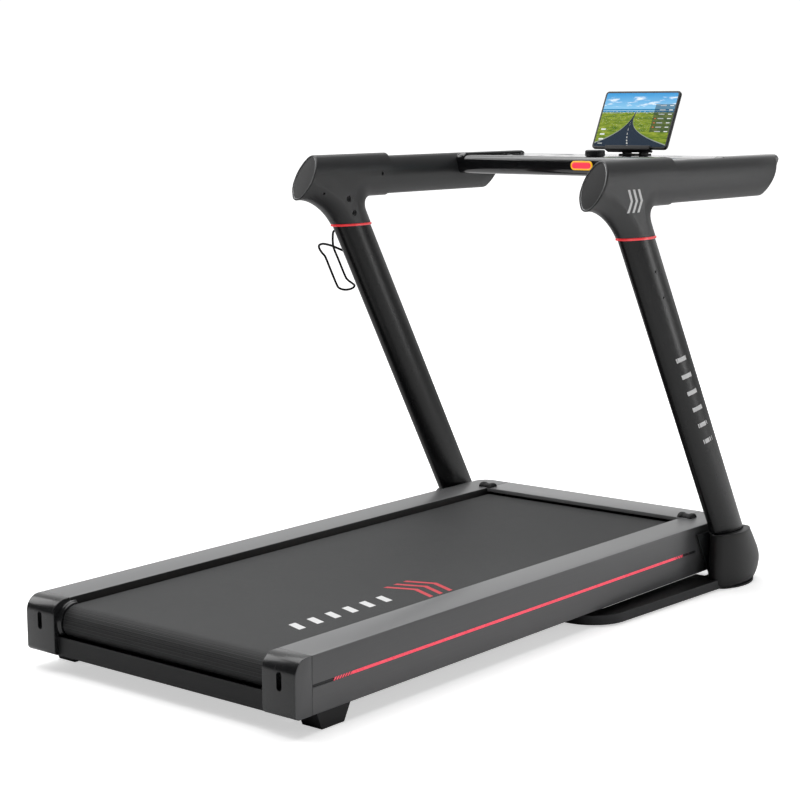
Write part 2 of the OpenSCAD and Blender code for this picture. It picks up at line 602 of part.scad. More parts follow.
module drive_belt() placed() color("#1a1b1c") ext_y(-268.8, -263.3) difference() {
  hull() { translate([front_roller_x, roller_z]) circle(28.4); translate([motor_x, motor_z]) circle(12.4); }
  hull() { translate([front_roller_x, roller_z]) circle(26.05); translate([motor_x, motor_z]) circle(10.05); }
}
module motor_controller() placed() color("#6d7277") union() {
  box(1378, 1430, -80, 80, rail_bot + 9, 62);
  for (y = [-74 : 12 : 74]) box(1382, 1426, y - 1.2, y + 1.2, 61, 84);
}
module power_inlet() placed() color("#151618") difference() {
  union() {
    box(deck_len, deck_len + 1.8, 142, 218, 57, 93);
    box(1408, deck_len, 145, 215, 60, 90);
  }
  // socket well with three blades left standing, and the switch well
  difference() {
    box(1420, deck_len + 5, 152, 178, 66, 84);
    for (p = [[165, 80], [158.5, 72], [171.5, 72]]) box(1418, deck_len - 4, p[0] - 1, p[0] + 1, p[1] - 2.2, p[1] + 2.2);
  }
  box(1422, deck_len + 5, 186, 210, 64, 86);
}
module power_rocker() placed() color("#b3202c") difference() {
  union() {
    rod_y(1432, 75, 186.3, 209.7, 4.5);
    ext_y(187.5, 208.5) polygon([[1432, 71], [1437, 66.3], [1440.2, 66.2], [1439, 75], [1437.4, 83.2], [1434, 83.2], [1432, 79]]);
  }
  rod_y(1432, 75, 180, 215, 1.5);
}

base_frame();
floor_pads();
boot_left();
boot_right();
upright_left();
upright_right();
ring_left();
ring_right();
bracket_left();
bracket_right();
bracket_cap_left();
bracket_cap_right();
handrail_left();
handrail_right();
handrail_plugs();
bracket_screws();
console_tray();
console_glass();
console_board();
tablet_stand();
bottle_cage();
cage_screws();
fold_pins();
wheel_axles();
wheel_left();
wheel_right();
rail_left();
rail_right();
stripe_left();
stripe_right();
rear_cap_left();
rear_cap_right();
front_cover();
front_tray();
cross_tubes();
running_board();
deck_cushions();
running_belt();
rear_panel();
rear_feet();
fold_bumpers();
drive_motor();
motor_rotor();
drive_belt();
motor_controller();
power_inlet();
power_rocker();
front_roller();
front_axle();
rear_roller();
rear_axle();
tension_bolts();
tablet();
tablet_cradle();
dial();
safety_key();
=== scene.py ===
import bpy, bmesh, math
import numpy as np
from mathutils import Vector, Matrix
from mathutils.bvhtree import BVHTree


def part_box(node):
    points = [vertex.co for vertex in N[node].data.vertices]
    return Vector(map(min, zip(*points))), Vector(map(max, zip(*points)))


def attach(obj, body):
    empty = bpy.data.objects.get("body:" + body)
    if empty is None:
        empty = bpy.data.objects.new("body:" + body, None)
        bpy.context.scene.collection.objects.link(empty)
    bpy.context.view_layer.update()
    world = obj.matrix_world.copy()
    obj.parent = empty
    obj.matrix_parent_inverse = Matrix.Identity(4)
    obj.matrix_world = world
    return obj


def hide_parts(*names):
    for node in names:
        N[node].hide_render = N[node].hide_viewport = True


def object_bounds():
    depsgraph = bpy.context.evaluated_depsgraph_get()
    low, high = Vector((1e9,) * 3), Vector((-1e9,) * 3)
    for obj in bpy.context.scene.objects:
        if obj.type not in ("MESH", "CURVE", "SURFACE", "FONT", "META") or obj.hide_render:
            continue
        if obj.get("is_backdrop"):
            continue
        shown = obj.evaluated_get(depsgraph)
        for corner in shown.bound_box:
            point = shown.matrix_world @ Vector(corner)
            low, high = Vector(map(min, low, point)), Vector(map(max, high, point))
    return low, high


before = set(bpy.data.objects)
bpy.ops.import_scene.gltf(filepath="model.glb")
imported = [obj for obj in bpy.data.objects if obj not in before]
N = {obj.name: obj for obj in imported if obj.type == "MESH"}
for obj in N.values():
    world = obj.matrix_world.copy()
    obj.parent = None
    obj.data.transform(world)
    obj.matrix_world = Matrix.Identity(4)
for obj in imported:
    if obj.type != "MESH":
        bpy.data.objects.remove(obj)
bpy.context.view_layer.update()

SC = bpy.context.scene
X0 = 900.0                       # shapes below are in mm from the rails' rear ends; the frame's origin is 900 mm ahead of them


def W(v):
    v = np.array(v, float)
    v[..., 0] -= X0
    return v / 1000.0


def bx(node):
    lo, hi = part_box(node)
    a, b = np.array(lo) * 1000, np.array(hi) * 1000
    a[0] += X0
    b[0] += X0
    return a, b


rad = math.radians
TAN, COS, SIN = math.tan(rad(30)), math.cos(rad(30)), math.sin(rad(30))
_u = bx("upright_left")
FOOT_X = 1442.4


def ux(z):
    return FOOT_X - z * TAN


# ------------------------------------------------------------------ materials
def node(nt, kind, **kw):
    n = nt.nodes.new(kind)
    for k, v in kw.items():
        if k.startswith("i_"):
            key = k[2:]
            n.inputs[int(key) if key.isdigit() else key.replace("_", " ")].default_value = v
        else:
            setattr(n, k, v)
    return n


def mth(nt, op, a, b=None, c=None, clamp=False):
    n = nt.nodes.new("ShaderNodeMath")
    n.operation = op
    n.use_clamp = clamp
    for i, x in enumerate((a, b, c)):
        if x is None:
            continue
        if isinstance(x, (int, float)):
            n.inputs[i].default_value = x
        else:
            nt.links.new(x, n.inputs[i])
    return n.outputs[0]


def mix(nt, fac, a, b):
    n = nt.nodes.new("ShaderNodeMix")
    n.data_type = "RGBA"
    for k, x in ((0, fac), (6, a), (7, b)):
        if isinstance(x, (int, float)):
            n.inputs[k].default_value = x
        elif isinstance(x, (tuple, list)):
            n.inputs[k].default_value = (*x[:3], 1)
        else:
            nt.links.new(x, n.inputs[k])
    return n.outputs[2]


def coords(nt, stretch=(1, 1, 1), uv=False):
    tc = nt.nodes.new("ShaderNodeTexCoord")
    mp = nt.nodes.new("ShaderNodeMapping")
    mp.inputs["Scale"].default_value = stretch
    nt.links.new(tc.outputs["UV" if uv else "Object"], mp.inputs[0])
    return mp.outputs[0]


def noise(nt, vec, scale, detail=3, rough=0.55):
    n = node(nt, "ShaderNodeTexNoise")
    n.inputs["Scale"].default_value = scale
    n.inputs["Detail"].default_value = detail
    n.inputs["Roughness"].default_value = rough
    nt.links.new(vec, n.inputs["Vector"])
    return n.outputs[0]


def mat(name, col, rough=0.5, metal=0.0, spec=0.5, coat=0.0, coat_rough=0.08, grain=0.15, gscale=1500, var=0.12,
        vscale=9, rvar=0.04, stretch=None, edge=0.25, bevel=0.0012, aniso=0.0, pattern=None, sheen=0.0, glow=0.0):
    """Procedural finish: colour drift, roughness drift, fine surface grain, paler edges over a small rounded edge
    (partly rubbed wear, partly a painted highlight), and an optional painted glow.
    """
    m = bpy.data.materials.new(name)
    m.use_nodes = True
    nt = m.node_tree
    p = nt.nodes["Principled BSDF"]
    vec = coords(nt)
    v1 = noise(nt, vec, vscale, 4)
    v2 = noise(nt, vec, vscale * 7.3, 5, 0.65)
    drift = mth(nt, "ADD", mth(nt, "MULTIPLY", v1, 0.6), mth(nt, "MULTIPLY", v2, 0.4))
    lo = tuple(c * (1 - var) for c in col)
    hi = tuple(min(1, c * (1 + var)) for c in col)
    mr = node(nt, "ShaderNodeMapRange", i_1=0.3, i_2=0.7)
    nt.links.new(drift, mr.inputs[0])
    c = mix(nt, mr.outputs[0], lo, hi)
    gvec = coords(nt, stretch) if stretch else vec
    g = noise(nt, gvec, 1.0 if stretch else gscale, 3, 0.6)
    if stretch:
        c = mix(nt, mth(nt, "MULTIPLY", mth(nt, "ABSOLUTE", mth(nt, "SUBTRACT", g, 0.5)), 1.6, clamp=True), c, tuple(min(1, x * 1.35 + 0.01) for x in col))
    height = g
    if pattern:
        c, height = pattern(nt, vec, c, g)
    # paler edges: partly rubbed wear, partly a painted highlight along the rounded edge where a real edge would catch
    # the light
    if edge:
        bn = node(nt, "ShaderNodeBevel", samples=4)
        bn.inputs["Radius"].default_value = max(bevel, 0.0008) * 1.6
        ge = nt.nodes.new("ShaderNodeNewGeometry")
        dp = nt.nodes.new("ShaderNodeVectorMath")
        dp.operation = "DOT_PRODUCT"
        nt.links.new(bn.outputs[0], dp.inputs[0])
        nt.links.new(ge.outputs["Normal"], dp.inputs[1])
        e = mth(nt, "SUBTRACT", 1.0, dp.outputs["Value"], clamp=True)
        e = mth(nt, "MULTIPLY", mth(nt, "MULTIPLY", e, 2.2), mth(nt, "ADD", v2, 0.35), clamp=True)
        c = mix(nt, mth(nt, "MULTIPLY", e, edge), c, tuple(min(1, x * 2.2 + 0.05) for x in col))
    nt.links.new(c, p.inputs["Base Color"])
    r = mth(nt, "ADD", mth(nt, "MULTIPLY", mth(nt, "SUBTRACT", v2, 0.5), rvar * 2), rough)
    r = mth(nt, "ADD", r, mth(nt, "MULTIPLY", mth(nt, "SUBTRACT", g, 0.5), rvar), clamp=True)
    nt.links.new(r, p.inputs["Roughness"])
    p.inputs["Metallic"].default_value = metal
    p.inputs["Specular IOR Level"].default_value = spec
    p.inputs["Coat Weight"].default_value = coat
    p.inputs["Coat Roughness"].default_value = coat_rough
    p.inputs["Anisotropic"].default_value = aniso
    p.inputs["Sheen Weight"].default_value = sheen
    # painted glow: the part gives off light in its own colour, though it is no lamp
    if glow:
        nt.links.new(c, p.inputs["Emission Color"])
        p.inputs["Emission Strength"].default_value = glow
    b = node(nt, "ShaderNodeBump")
    b.inputs["Strength"].default_value = grain
    b.inputs["Distance"].default_value = 0.0004
    nt.links.new(height, b.inputs["Height"])
    if bevel:
        bb = node(nt, "ShaderNodeBevel", samples=4)
        bb.inputs["Radius"].default_value = bevel
        nt.links.new(bb.outputs[0], b.inputs["Normal"])
    nt.links.new(b.outputs[0], p.inputs["Normal"])
    return m


def weave(nt, vec, c, g):
    """Fine diamond weave of the running belt, from the belt's own length and width coordinates in metres."""
    uv = nt.nodes.new("ShaderNodeTexCoord").outputs["UV"]
    s = nt.nodes.new("ShaderNodeSeparateXYZ")
    nt.links.new(uv, s.inputs[0])
    u, v = s.outputs[0], s.outputs[1]
    k = 2 * math.pi / 0.0066
    a = mth(nt, "SINE", mth(nt, "MULTIPLY", mth(nt, "ADD", u, v), k))
    b = mth(nt, "SINE", mth(nt, "MULTIPLY", mth(nt, "SUBTRACT", u, v), k))
    d = mth(nt, "MULTIPLY", mth(nt, "ADD", mth(nt, "MULTIPLY", a, b), 1.0), 0.5)
    sharp = mth(nt, "MULTIPLY", mth(nt, "SUBTRACT", d, 0.42), 5.0, clamp=True)
    # the weave opens up where the belt bends round the rear roller
    ge = nt.nodes.new("ShaderNodeNewGeometry")
    sn = nt.nodes.new("ShaderNodeSeparateXYZ")
    nt.links.new(ge.outputs["Normal"], sn.inputs[0])
    bend = mth(nt, "MULTIPLY", mth(nt, "SUBTRACT", mth(nt, "MULTIPLY", sn.outputs[0], -1.0), 0.15), 2.5, clamp=True)
    rib = mth(nt, "GREATER_THAN", mth(nt, "SINE", mth(nt, "MULTIPLY", u, 2 * math.pi / 0.0058)), 0.1)
    deep = mth(nt, "MULTIPLY", bend, mth(nt, "ADD", mth(nt, "MULTIPLY", rib, 0.55), mth(nt, "MULTIPLY", sharp, 0.6), clamp=True))
    sharp = mth(nt, "ADD", mth(nt, "MULTIPLY", sharp, 0.45), deep, clamp=True)
    c = mix(nt, mth(nt, "MULTIPLY", sharp, 0.9), c, (0.006, 0.006, 0.0065))
    h = mth(nt, "ADD", mth(nt, "MULTIPLY", sharp, -1.0), mth(nt, "MULTIPLY", g, 0.2))
    return c, h


def hatch(nt, vec, c, g):
    """Slanted dark slashes at both ends of the side stripe."""
    s = nt.nodes.new("ShaderNodeSeparateXYZ")
    nt.links.new(vec, s.inputs[0])
    x, z = s.outputs[0], s.outputs[2]
    w = mth(nt, "FRACT", mth(nt, "MULTIPLY", mth(nt, "ADD", x, mth(nt, "MULTIPLY", z, -0.9)), 1 / 0.0072))
    slash = mth(nt, "GREATER_THAN", w, 0.52)
    ends = mth(nt, "ADD", mth(nt, "LESS_THAN", x, -0.762), mth(nt, "GREATER_THAN", x, 0.305), clamp=True)
    c = mix(nt, mth(nt, "MULTIPLY", slash, ends), c, (0.03, 0.008, 0.01))
    return mix(nt, mth(nt, "GREATER_THAN", x, 0.336), c, (0.008, 0.008, 0.009)), g


def shade_top(nt, vec, c, g):
    """Darker on faces that look up, where the deck keeps the light off."""
    ge = nt.nodes.new("ShaderNodeNewGeometry")
    s = nt.nodes.new("ShaderNodeSeparateXYZ")
    nt.links.new(ge.outputs["Normal"], s.inputs[0])
    up = mth(nt, "MULTIPLY", mth(nt, "SUBTRACT", s.outputs[2], 0.6), 4.0, clamp=True)
    return mix(nt, up, c, (0.002, 0.002, 0.0022)), g


def painted_top_reflection(nt, vec, c, g):
    """Painted reflection: paler on faces that look up, standing in for the sky the anodised tops reflect."""
    ge = nt.nodes.new("ShaderNodeNewGeometry")
    s = nt.nodes.new("ShaderNodeSeparateXYZ")
    nt.links.new(ge.outputs["Normal"], s.inputs[0])
    up = mth(nt, "MULTIPLY", mth(nt, "SUBTRACT", s.outputs[2], 0.75), 4.0, clamp=True)
    return mix(nt, mth(nt, "MULTIPLY", up, 0.3), c, (0.30, 0.302, 0.306)), g


M = {
    "steel_coat": mat("steel_coat", (0.030, 0.031, 0.033), 0.46, grain=0.22, gscale=900, edge=0.35, bevel=0.0022, pattern=shade_top, spec=0.35),
    "tube_black": mat("tube_black", (0.0050, 0.0052, 0.0057), 0.27, spec=0.36, grain=0.035, gscale=1600, var=0.05, rvar=0.012, edge=0.1, bevel=0),
    "bracket": mat("bracket_charcoal", (0.0195, 0.020, 0.0212), 0.40, spec=0.6, grain=0.14, gscale=1500, edge=0.12, bevel=0),
    "handrail": mat("handrail_charcoal", (0.019, 0.0195, 0.0207), 0.40, spec=0.6, grain=0.22, gscale=1100, edge=0.1, bevel=0),
    "cap_black": mat("cap_black", (0.006, 0.006, 0.0066), 0.46, spec=0.4, grain=0.45, gscale=700, edge=0.35, bevel=0.0008),
    "boot": mat("boot_black", (0.0052, 0.0052, 0.0056), 0.40, grain=0.22, gscale=900, edge=0.15, bevel=0),
    # rails: the paler tops are a painted sky reflection
    "rail": mat("rail_satin", (0.080, 0.081, 0.084), 0.36, grain=0.03, stretch=(5, 900, 900), var=0.035, rvar=0.015, edge=0.3, bevel=0, spec=1.0, pattern=painted_top_reflection),
    # painted reflection: the cover's base is paler than the rails', standing in for the brighter reflection on its top
    "cover": mat("cover_satin", (0.24, 0.241, 0.245), 0.32, grain=0.03, stretch=(900, 5, 900), var=0.03, rvar=0.015, edge=0.3, bevel=0, spec=0.8),
    "rear_cap": mat("rear_cap_grey", (0.014, 0.0145, 0.0155), 0.26, coat=0.2, grain=0.10, gscale=1400, edge=0.3, bevel=0),
    # painted glow: the red stripe and the red rings give off light of their own, though they are no lamps
    "stripe": mat("stripe_red", (0.95, 0.055, 0.10), 0.28, glow=0.62, coat=0.3, grain=0.05, gscale=600, edge=0.2, bevel=0.0006, pattern=hatch),
    "ring_red": mat("ring_red", (0.82, 0.035, 0.045), 0.30, glow=0.45, coat=0.4, grain=0.06, gscale=900, edge=0.2, bevel=0),
    "belt": mat("belt_weave", (0.033, 0.034, 0.035), 0.62, grain=0.9, gscale=2200, var=0.08, edge=0, bevel=0, pattern=weave, spec=0.4),
    # cap sides: the strong pale-edge term paints a bright highlight line along the caps' outer edges
    "cap_side": mat("cap_side_grey", (0.072, 0.073, 0.076), 0.36, spec=0.9, grain=0.08, gscale=1400, var=0.05, edge=0.5, bevel=0.0009),
    "panel": mat("panel_black", (0.010, 0.010, 0.011), 0.5, spec=0.35, grain=0.3, gscale=900, edge=0.4, bevel=0.0008),
    # painted highlight: pale metal for the thin rings that stand in for the highlight on the bracket caps' edges
    "rim": mat("rim_painted_highlight", (0.30, 0.305, 0.31), 0.25, metal=0.6, grain=0.08, gscale=1200, var=0.05, edge=0.3, bevel=0),
    "wood": mat("board_wood", (0.20, 0.13, 0.075), 0.5, grain=0.3, stretch=(14, 420, 420), var=0.25, edge=0.3, bevel=0.001),
    "rubber": mat("rubber_black", (0.014, 0.014, 0.015), 0.66, grain=0.4, gscale=800, edge=0.3, bevel=0.0016),
    "tyre": mat("tyre_black", (0.013, 0.013, 0.014), 0.6, grain=0.5, gscale=650, edge=0.4, bevel=0.001),
    "steel": mat("zinc_steel", (0.52, 0.53, 0.55), 0.32, metal=1.0, grain=0.18, gscale=2400, var=0.08, edge=0.6, bevel=0.0005),
    "roller": mat("roller_steel", (0.55, 0.56, 0.58), 0.28, metal=1.0, grain=0.12, stretch=(1500, 10, 1500), var=0.06, edge=0.5, bevel=0.0008),
    "console": mat("console_gloss", (0.007, 0.007, 0.008), 0.16, coat=0.8, coat_rough=0.05, grain=0.02, gscale=120, rvar=0.03, edge=0.1, bevel=0),
    "glass": mat("console_glass", (0.030, 0.031, 0.034), 0.13, coat=1.0, coat_rough=0.03, grain=0.01, gscale=60, rvar=0.03, edge=0.2, bevel=0),
    "board": mat("circuit_board", (0.01, 0.09, 0.045), 0.4, coat=0.4, grain=0.5, gscale=260, var=0.3, edge=0.3, bevel=0.0004),
    "wire": mat("wire_black", (0.0035, 0.0035, 0.004), 0.5, spec=0.12, grain=0.06, gscale=600, edge=0.1, bevel=0),
    "motor": mat("motor_cast", (0.03, 0.032, 0.036), 0.55, grain=0.6, gscale=520, edge=0.5, bevel=0.0008),
    "heatsink": mat("heatsink", (0.30, 0.31, 0.33), 0.42, metal=1.0, grain=0.15, stretch=(9, 1200, 1200), edge=0.6, bevel=0.0004),
    "inlet": mat("inlet_black", (0.012, 0.012, 0.013), 0.48, grain=0.3, gscale=1200, edge=0.3, bevel=0.0008),
    "switch": mat("switch_red", (0.55, 0.015, 0.02), 0.25, coat=0.5, grain=0.05, gscale=900, edge=0.3, bevel=0.001),
    "tablet": mat("tablet_shell", (0.012, 0.012, 0.013), 0.38, grain=0.14, gscale=1500, edge=0.3, bevel=0),
    "dial": mat("dial_black", (0.010, 0.010, 0.011), 0.34, grain=0.2, gscale=1300, edge=0.4, bevel=0.0009),
    # painted glow: the key's red and yellow give off light of their own, though the key is no lamp
    "key_red": mat("key_red", (0.95, 0.05, 0.09), 0.3, glow=0.6, coat=0.4, grain=0.05, gscale=900, edge=0.2, bevel=0),
    "key_yellow": mat("key_yellow", (0.98, 0.50, 0.02), 0.32, glow=0.5, coat=0.3, grain=0.05, gscale=900, edge=0.2, bevel=0),
    "mark": mat("mark_white", (0.82, 0.82, 0.82), 0.42, grain=0.05, gscale=1200, var=0.03, edge=0, bevel=0),
    "mark_red": mat("mark_red", (0.70, 0.03, 0.05), 0.45, grain=0.05, gscale=1200, var=0.05, edge=0, bevel=0),
    "mark_dim": mat("mark_dim", (0.60, 0.61, 0.63), 0.3, grain=0.03, gscale=900, var=0.04, edge=0, bevel=0),
    # painted shade: near-black for every wall a cut leaves, standing in for the shade inside holes, slots and pockets
    "hole": mat("recess_painted_shade", (0.004, 0.004, 0.004), 0.7, grain=0.2, gscale=900, edge=0, bevel=0),
    "stripe_dark": mat("stripe_dark", (0.008, 0.008, 0.009), 0.5, grain=0.1, gscale=900, edge=0, bevel=0),
}


# ------------------------------------------------------------------ mesh tools
def finish_mesh(me, smooth):
    bm = bmesh.new()
    bm.from_mesh(me)
    bmesh.ops.remove_doubles(bm, verts=bm.verts, dist=1e-7)
    bmesh.ops.recalc_face_normals(bm, faces=bm.faces)
    bm.to_mesh(me)
    bm.free()
    me.shade_smooth()
    me.set_sharp_from_angle(angle=rad(smooth))


def make(name, V, F, body, m, slot=None, rep=(), smooth=35, raw=False):
    me = bpy.data.meshes.new(name)
    me.from_pydata([tuple(p) for p in W(V)], [], [tuple(int(i) for i in f) for f in F])
    finish_mesh(me, smooth)
    o = bpy.data.objects.new(name, me)
    SC.collection.objects.link(o)
    if m:
        me.materials.append(M[m] if isinstance(m, str) else m)
    if raw:
        return o
    return put(o, body, rep)


def put(o, body, rep=()):
    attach(o, body)
    if rep:
        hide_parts(*rep)
    return o


def bake(o, smooth=35):
    dg = bpy.context.evaluated_depsgraph_get()
    dg.update()
    me = bpy.data.meshes.new_from_object(o.evaluated_get(dg))
    o.modifiers.clear()
    o.data = me
    me.shade_smooth()
    me.set_sharp_from_angle(angle=rad(smooth))
    return o


def bev(o, w, seg=3, ang=30, smooth=35):
    md = o.modifiers.new("b", "BEVEL")
    md.width, md.segments, md.limit_method, md.angle_limit = w / 1000, seg, "ANGLE", rad(ang)
    md.harden_normals = False
    return bake(o, smooth)


def cut(o, *cutters, smooth=35):
    for c in cutters:
        md = o.modifiers.new("c", "BOOLEAN")
        md.operation, md.solver, md.object = "DIFFERENCE", "EXACT", c
        bake(o, smooth)
        bpy.data.objects.remove(c)
    return o


def loft(rings, cap=True, wrap=False):
    """Quads between successive closed rings of equal length, with flat ends, or joined last to first."""
    n = len(rings[0])
    V = np.concatenate(rings)
    F = []
    k = len(rings)
    for i in range(k if wrap else k - 1):
        a, b = i * n, ((i + 1) % k) * n
        for j in range(n):
            F.append((a + j, a + (j + 1) % n, b + (j + 1) % n, b + j))
    if cap and not wrap:
        F.append(tuple(range(n - 1, -1, -1)))
        F.append(tuple(range((k - 1) * n, k * n)))
    return V, F


def oval(a, b, e, n=96):
    """Four-arc oval, evenly spaced along its length, starting on +a."""
    f = ((a - e) ** 2 + b * b - e * e) / (2 * (b - e))
    al = math.atan2(f - b, a - e)
    P = []
    for t in np.linspace(-al, al, 60, endpoint=False):
        P.append((a - e + e * math.cos(t), e * math.sin(t)))
    for t in np.linspace(al, math.pi - al, 160, endpoint=False):
        P.append((f * math.cos(t), f * math.sin(t) - (f - b)))
    for t in np.linspace(math.pi - al, math.pi + al, 60, endpoint=False):
        P.append((-(a - e) + e * math.cos(t), e * math.sin(t)))
    for t in np.linspace(math.pi + al, 2 * math.pi - al, 160, endpoint=False):
        P.append((f * math.cos(t), f * math.sin(t) + (f - b)))
    P = np.array(P + [P[0]])
    d = np.concatenate([[0], np.cumsum(np.hypot(*np.diff(P, axis=0).T))])
    q = np.linspace(0, d[-1], n, endpoint=False)
    return np.stack([np.interp(q, d, P[:, 0]), np.interp(q, d, P[:, 1])], 1)


def rrect(x0, y0, x1, y1, r, k=6):
    P = []
    for cx, cy, a0 in ((x1 - r, y0 + r, -90), (x1 - r, y1 - r, 0), (x0 + r, y1 - r, 90), (x0 + r, y0 + r, 180)):
        for t in np.linspace(0, 90, k + 1):
            P.append((cx + r * math.cos(rad(a0 + t)), cy + r * math.sin(rad(a0 + t))))
    return np.array(P)


def box(name, x0, x1, y0, y1, z0, z1, r, body, m, slot=None, rep=(), seg=3, raw=False):
    """A box with all its edges rounded by r through a bevel applied to a plain box."""
    V = [(x, y, z) for x in (x0, x1) for y in (y0, y1) for z in (z0, z1)]
    F = [(0, 1, 3, 2), (4, 6, 7, 5), (0, 4, 5, 1), (2, 3, 7, 6), (0, 2, 6, 4), (1, 5, 7, 3)]
    o = make(name, V, F, body, m, raw=True)
    if r:
        bev(o, r, seg)
    return o if raw else put(o, body, rep)


def extrude(poly, axis, a, b):
    """Prism of a closed 2-D outline along an axis. For y the outline is (x, z), for z it is (x, y), for x it is (y, z)."""
    out = []
    for t in (a, b):
        p = np.zeros((len(poly), 3))
        o = {"y": (0, 2), "z": (0, 1), "x": (1, 2)}[axis]
        p[:, o[0]], p[:, o[1]] = poly[:, 0], poly[:, 1]
        p[:, "xyz".index(axis)] = t
        out.append(p)
    return loft(out)


def cyl(name, p, q, r, m="hole", n=32, r2=None, raw=True, body=None, bevel=0):
    p, q = np.array(p, float), np.array(q, float)
    d = (q - p) / np.linalg.norm(q - p)
    a = np.cross(d, (0, 0, 1) if abs(d[2]) < 0.9 else (1, 0, 0))
    a /= np.linalg.norm(a)
    b = np.cross(d, a)
    t = np.linspace(0, 2 * math.pi, n, endpoint=False)
    c = np.cos(t)[:, None] * a + np.sin(t)[:, None] * b
    prof = [(0, r), (1, r if r2 is None else r2)]
    L = np.linalg.norm(q - p)
    if bevel:
        k = bevel
        prof = [(0, r - k), (k * 0.3 / L, r - k * 0.3), (k / L, r), (1 - k / L, r), (1 - k * 0.3 / L, r - k * 0.3), (1, r - k)]
    V, F = loft([p + d * L * s + c * rr for s, rr in prof])
    return make(name, V, F, body, m, raw=raw)


def lathe(axis_p, axis_d, prof, n=64):
    """Closed solid of revolution; prof is (distance along axis, radius), from axis to axis or around a ring."""
    p, d = np.array(axis_p, float), np.array(axis_d, float)
    d /= np.linalg.norm(d)
    a = np.cross(d, (0, 0, 1) if abs(d[2]) < 0.9 else (1, 0, 0))
    a /= np.linalg.norm(a)
    b = np.cross(d, a)
    t = np.linspace(0, 2 * math.pi, n, endpoint=False)
    c = np.cos(t)[:, None] * a + np.sin(t)[:, None] * b
    return [p + d * s + c * rr for s, rr in prof]


def smooth_path(pts, k=8, closed=False):
    """Catmull-Rom points through the given ones."""
    P = [np.array(p, float) for p in pts]
    n = len(P)
    out = []
    for i in range(n if closed else n - 1):
        g = lambda j: P[j % n] if closed else P[min(max(j, 0), n - 1)]
        a, b, c, d = g(i - 1), g(i), g(i + 1), g(i + 2)
        for t in np.linspace(0, 1, k, endpoint=False):
            out.append(0.5 * ((2 * b) + (-a + c) * t + (2 * a - 5 * b + 4 * c - d) * t * t + (-a + 3 * b - 3 * c + d) * t ** 3))
    if not closed:
        out.append(P[-1])
    return np.array(out)


def tube(pts, r, n=16):
    """A round wire along a path, with domed ends."""
    P = np.array(pts, float)
    T = np.gradient(P, axis=0)
    T /= np.linalg.norm(T, axis=1)[:, None]
    a = np.cross(T[0], (0.3, 0.9, 0.1))
    a /= np.linalg.norm(a)
    t = np.linspace(0, 2 * math.pi, n, endpoint=False)
    rings = []
    for i in range(len(P)):
        a = a - T[i] * (a @ T[i])
        a /= np.linalg.norm(a)
        b = np.cross(T[i], a)
        rr = r
        rings.append(P[i] + rr * (np.cos(t)[:, None] * a + np.sin(t)[:, None] * b))
    e0 = [P[0] - T[0] * r * s + (rings[0] - P[0]) * c for s, c in ((0.9, 0.35), (0.6, 0.8))]
    e1 = [P[-1] + T[-1] * r * s + (rings[-1] - P[-1]) * c for s, c in ((0.6, 0.8), (0.9, 0.35))]
    return loft(e0 + rings + e1)


def merge(parts):
    V, F, o = [], [], 0
    for v, f in parts:
        V.append(v)
        F += [tuple(i + o for i in q) for q in f]
        o += len(v)
    return np.concatenate(V), F


def flip_y(V):
    V = np.array(V, float)
    V[:, 1] *= -1
    return V


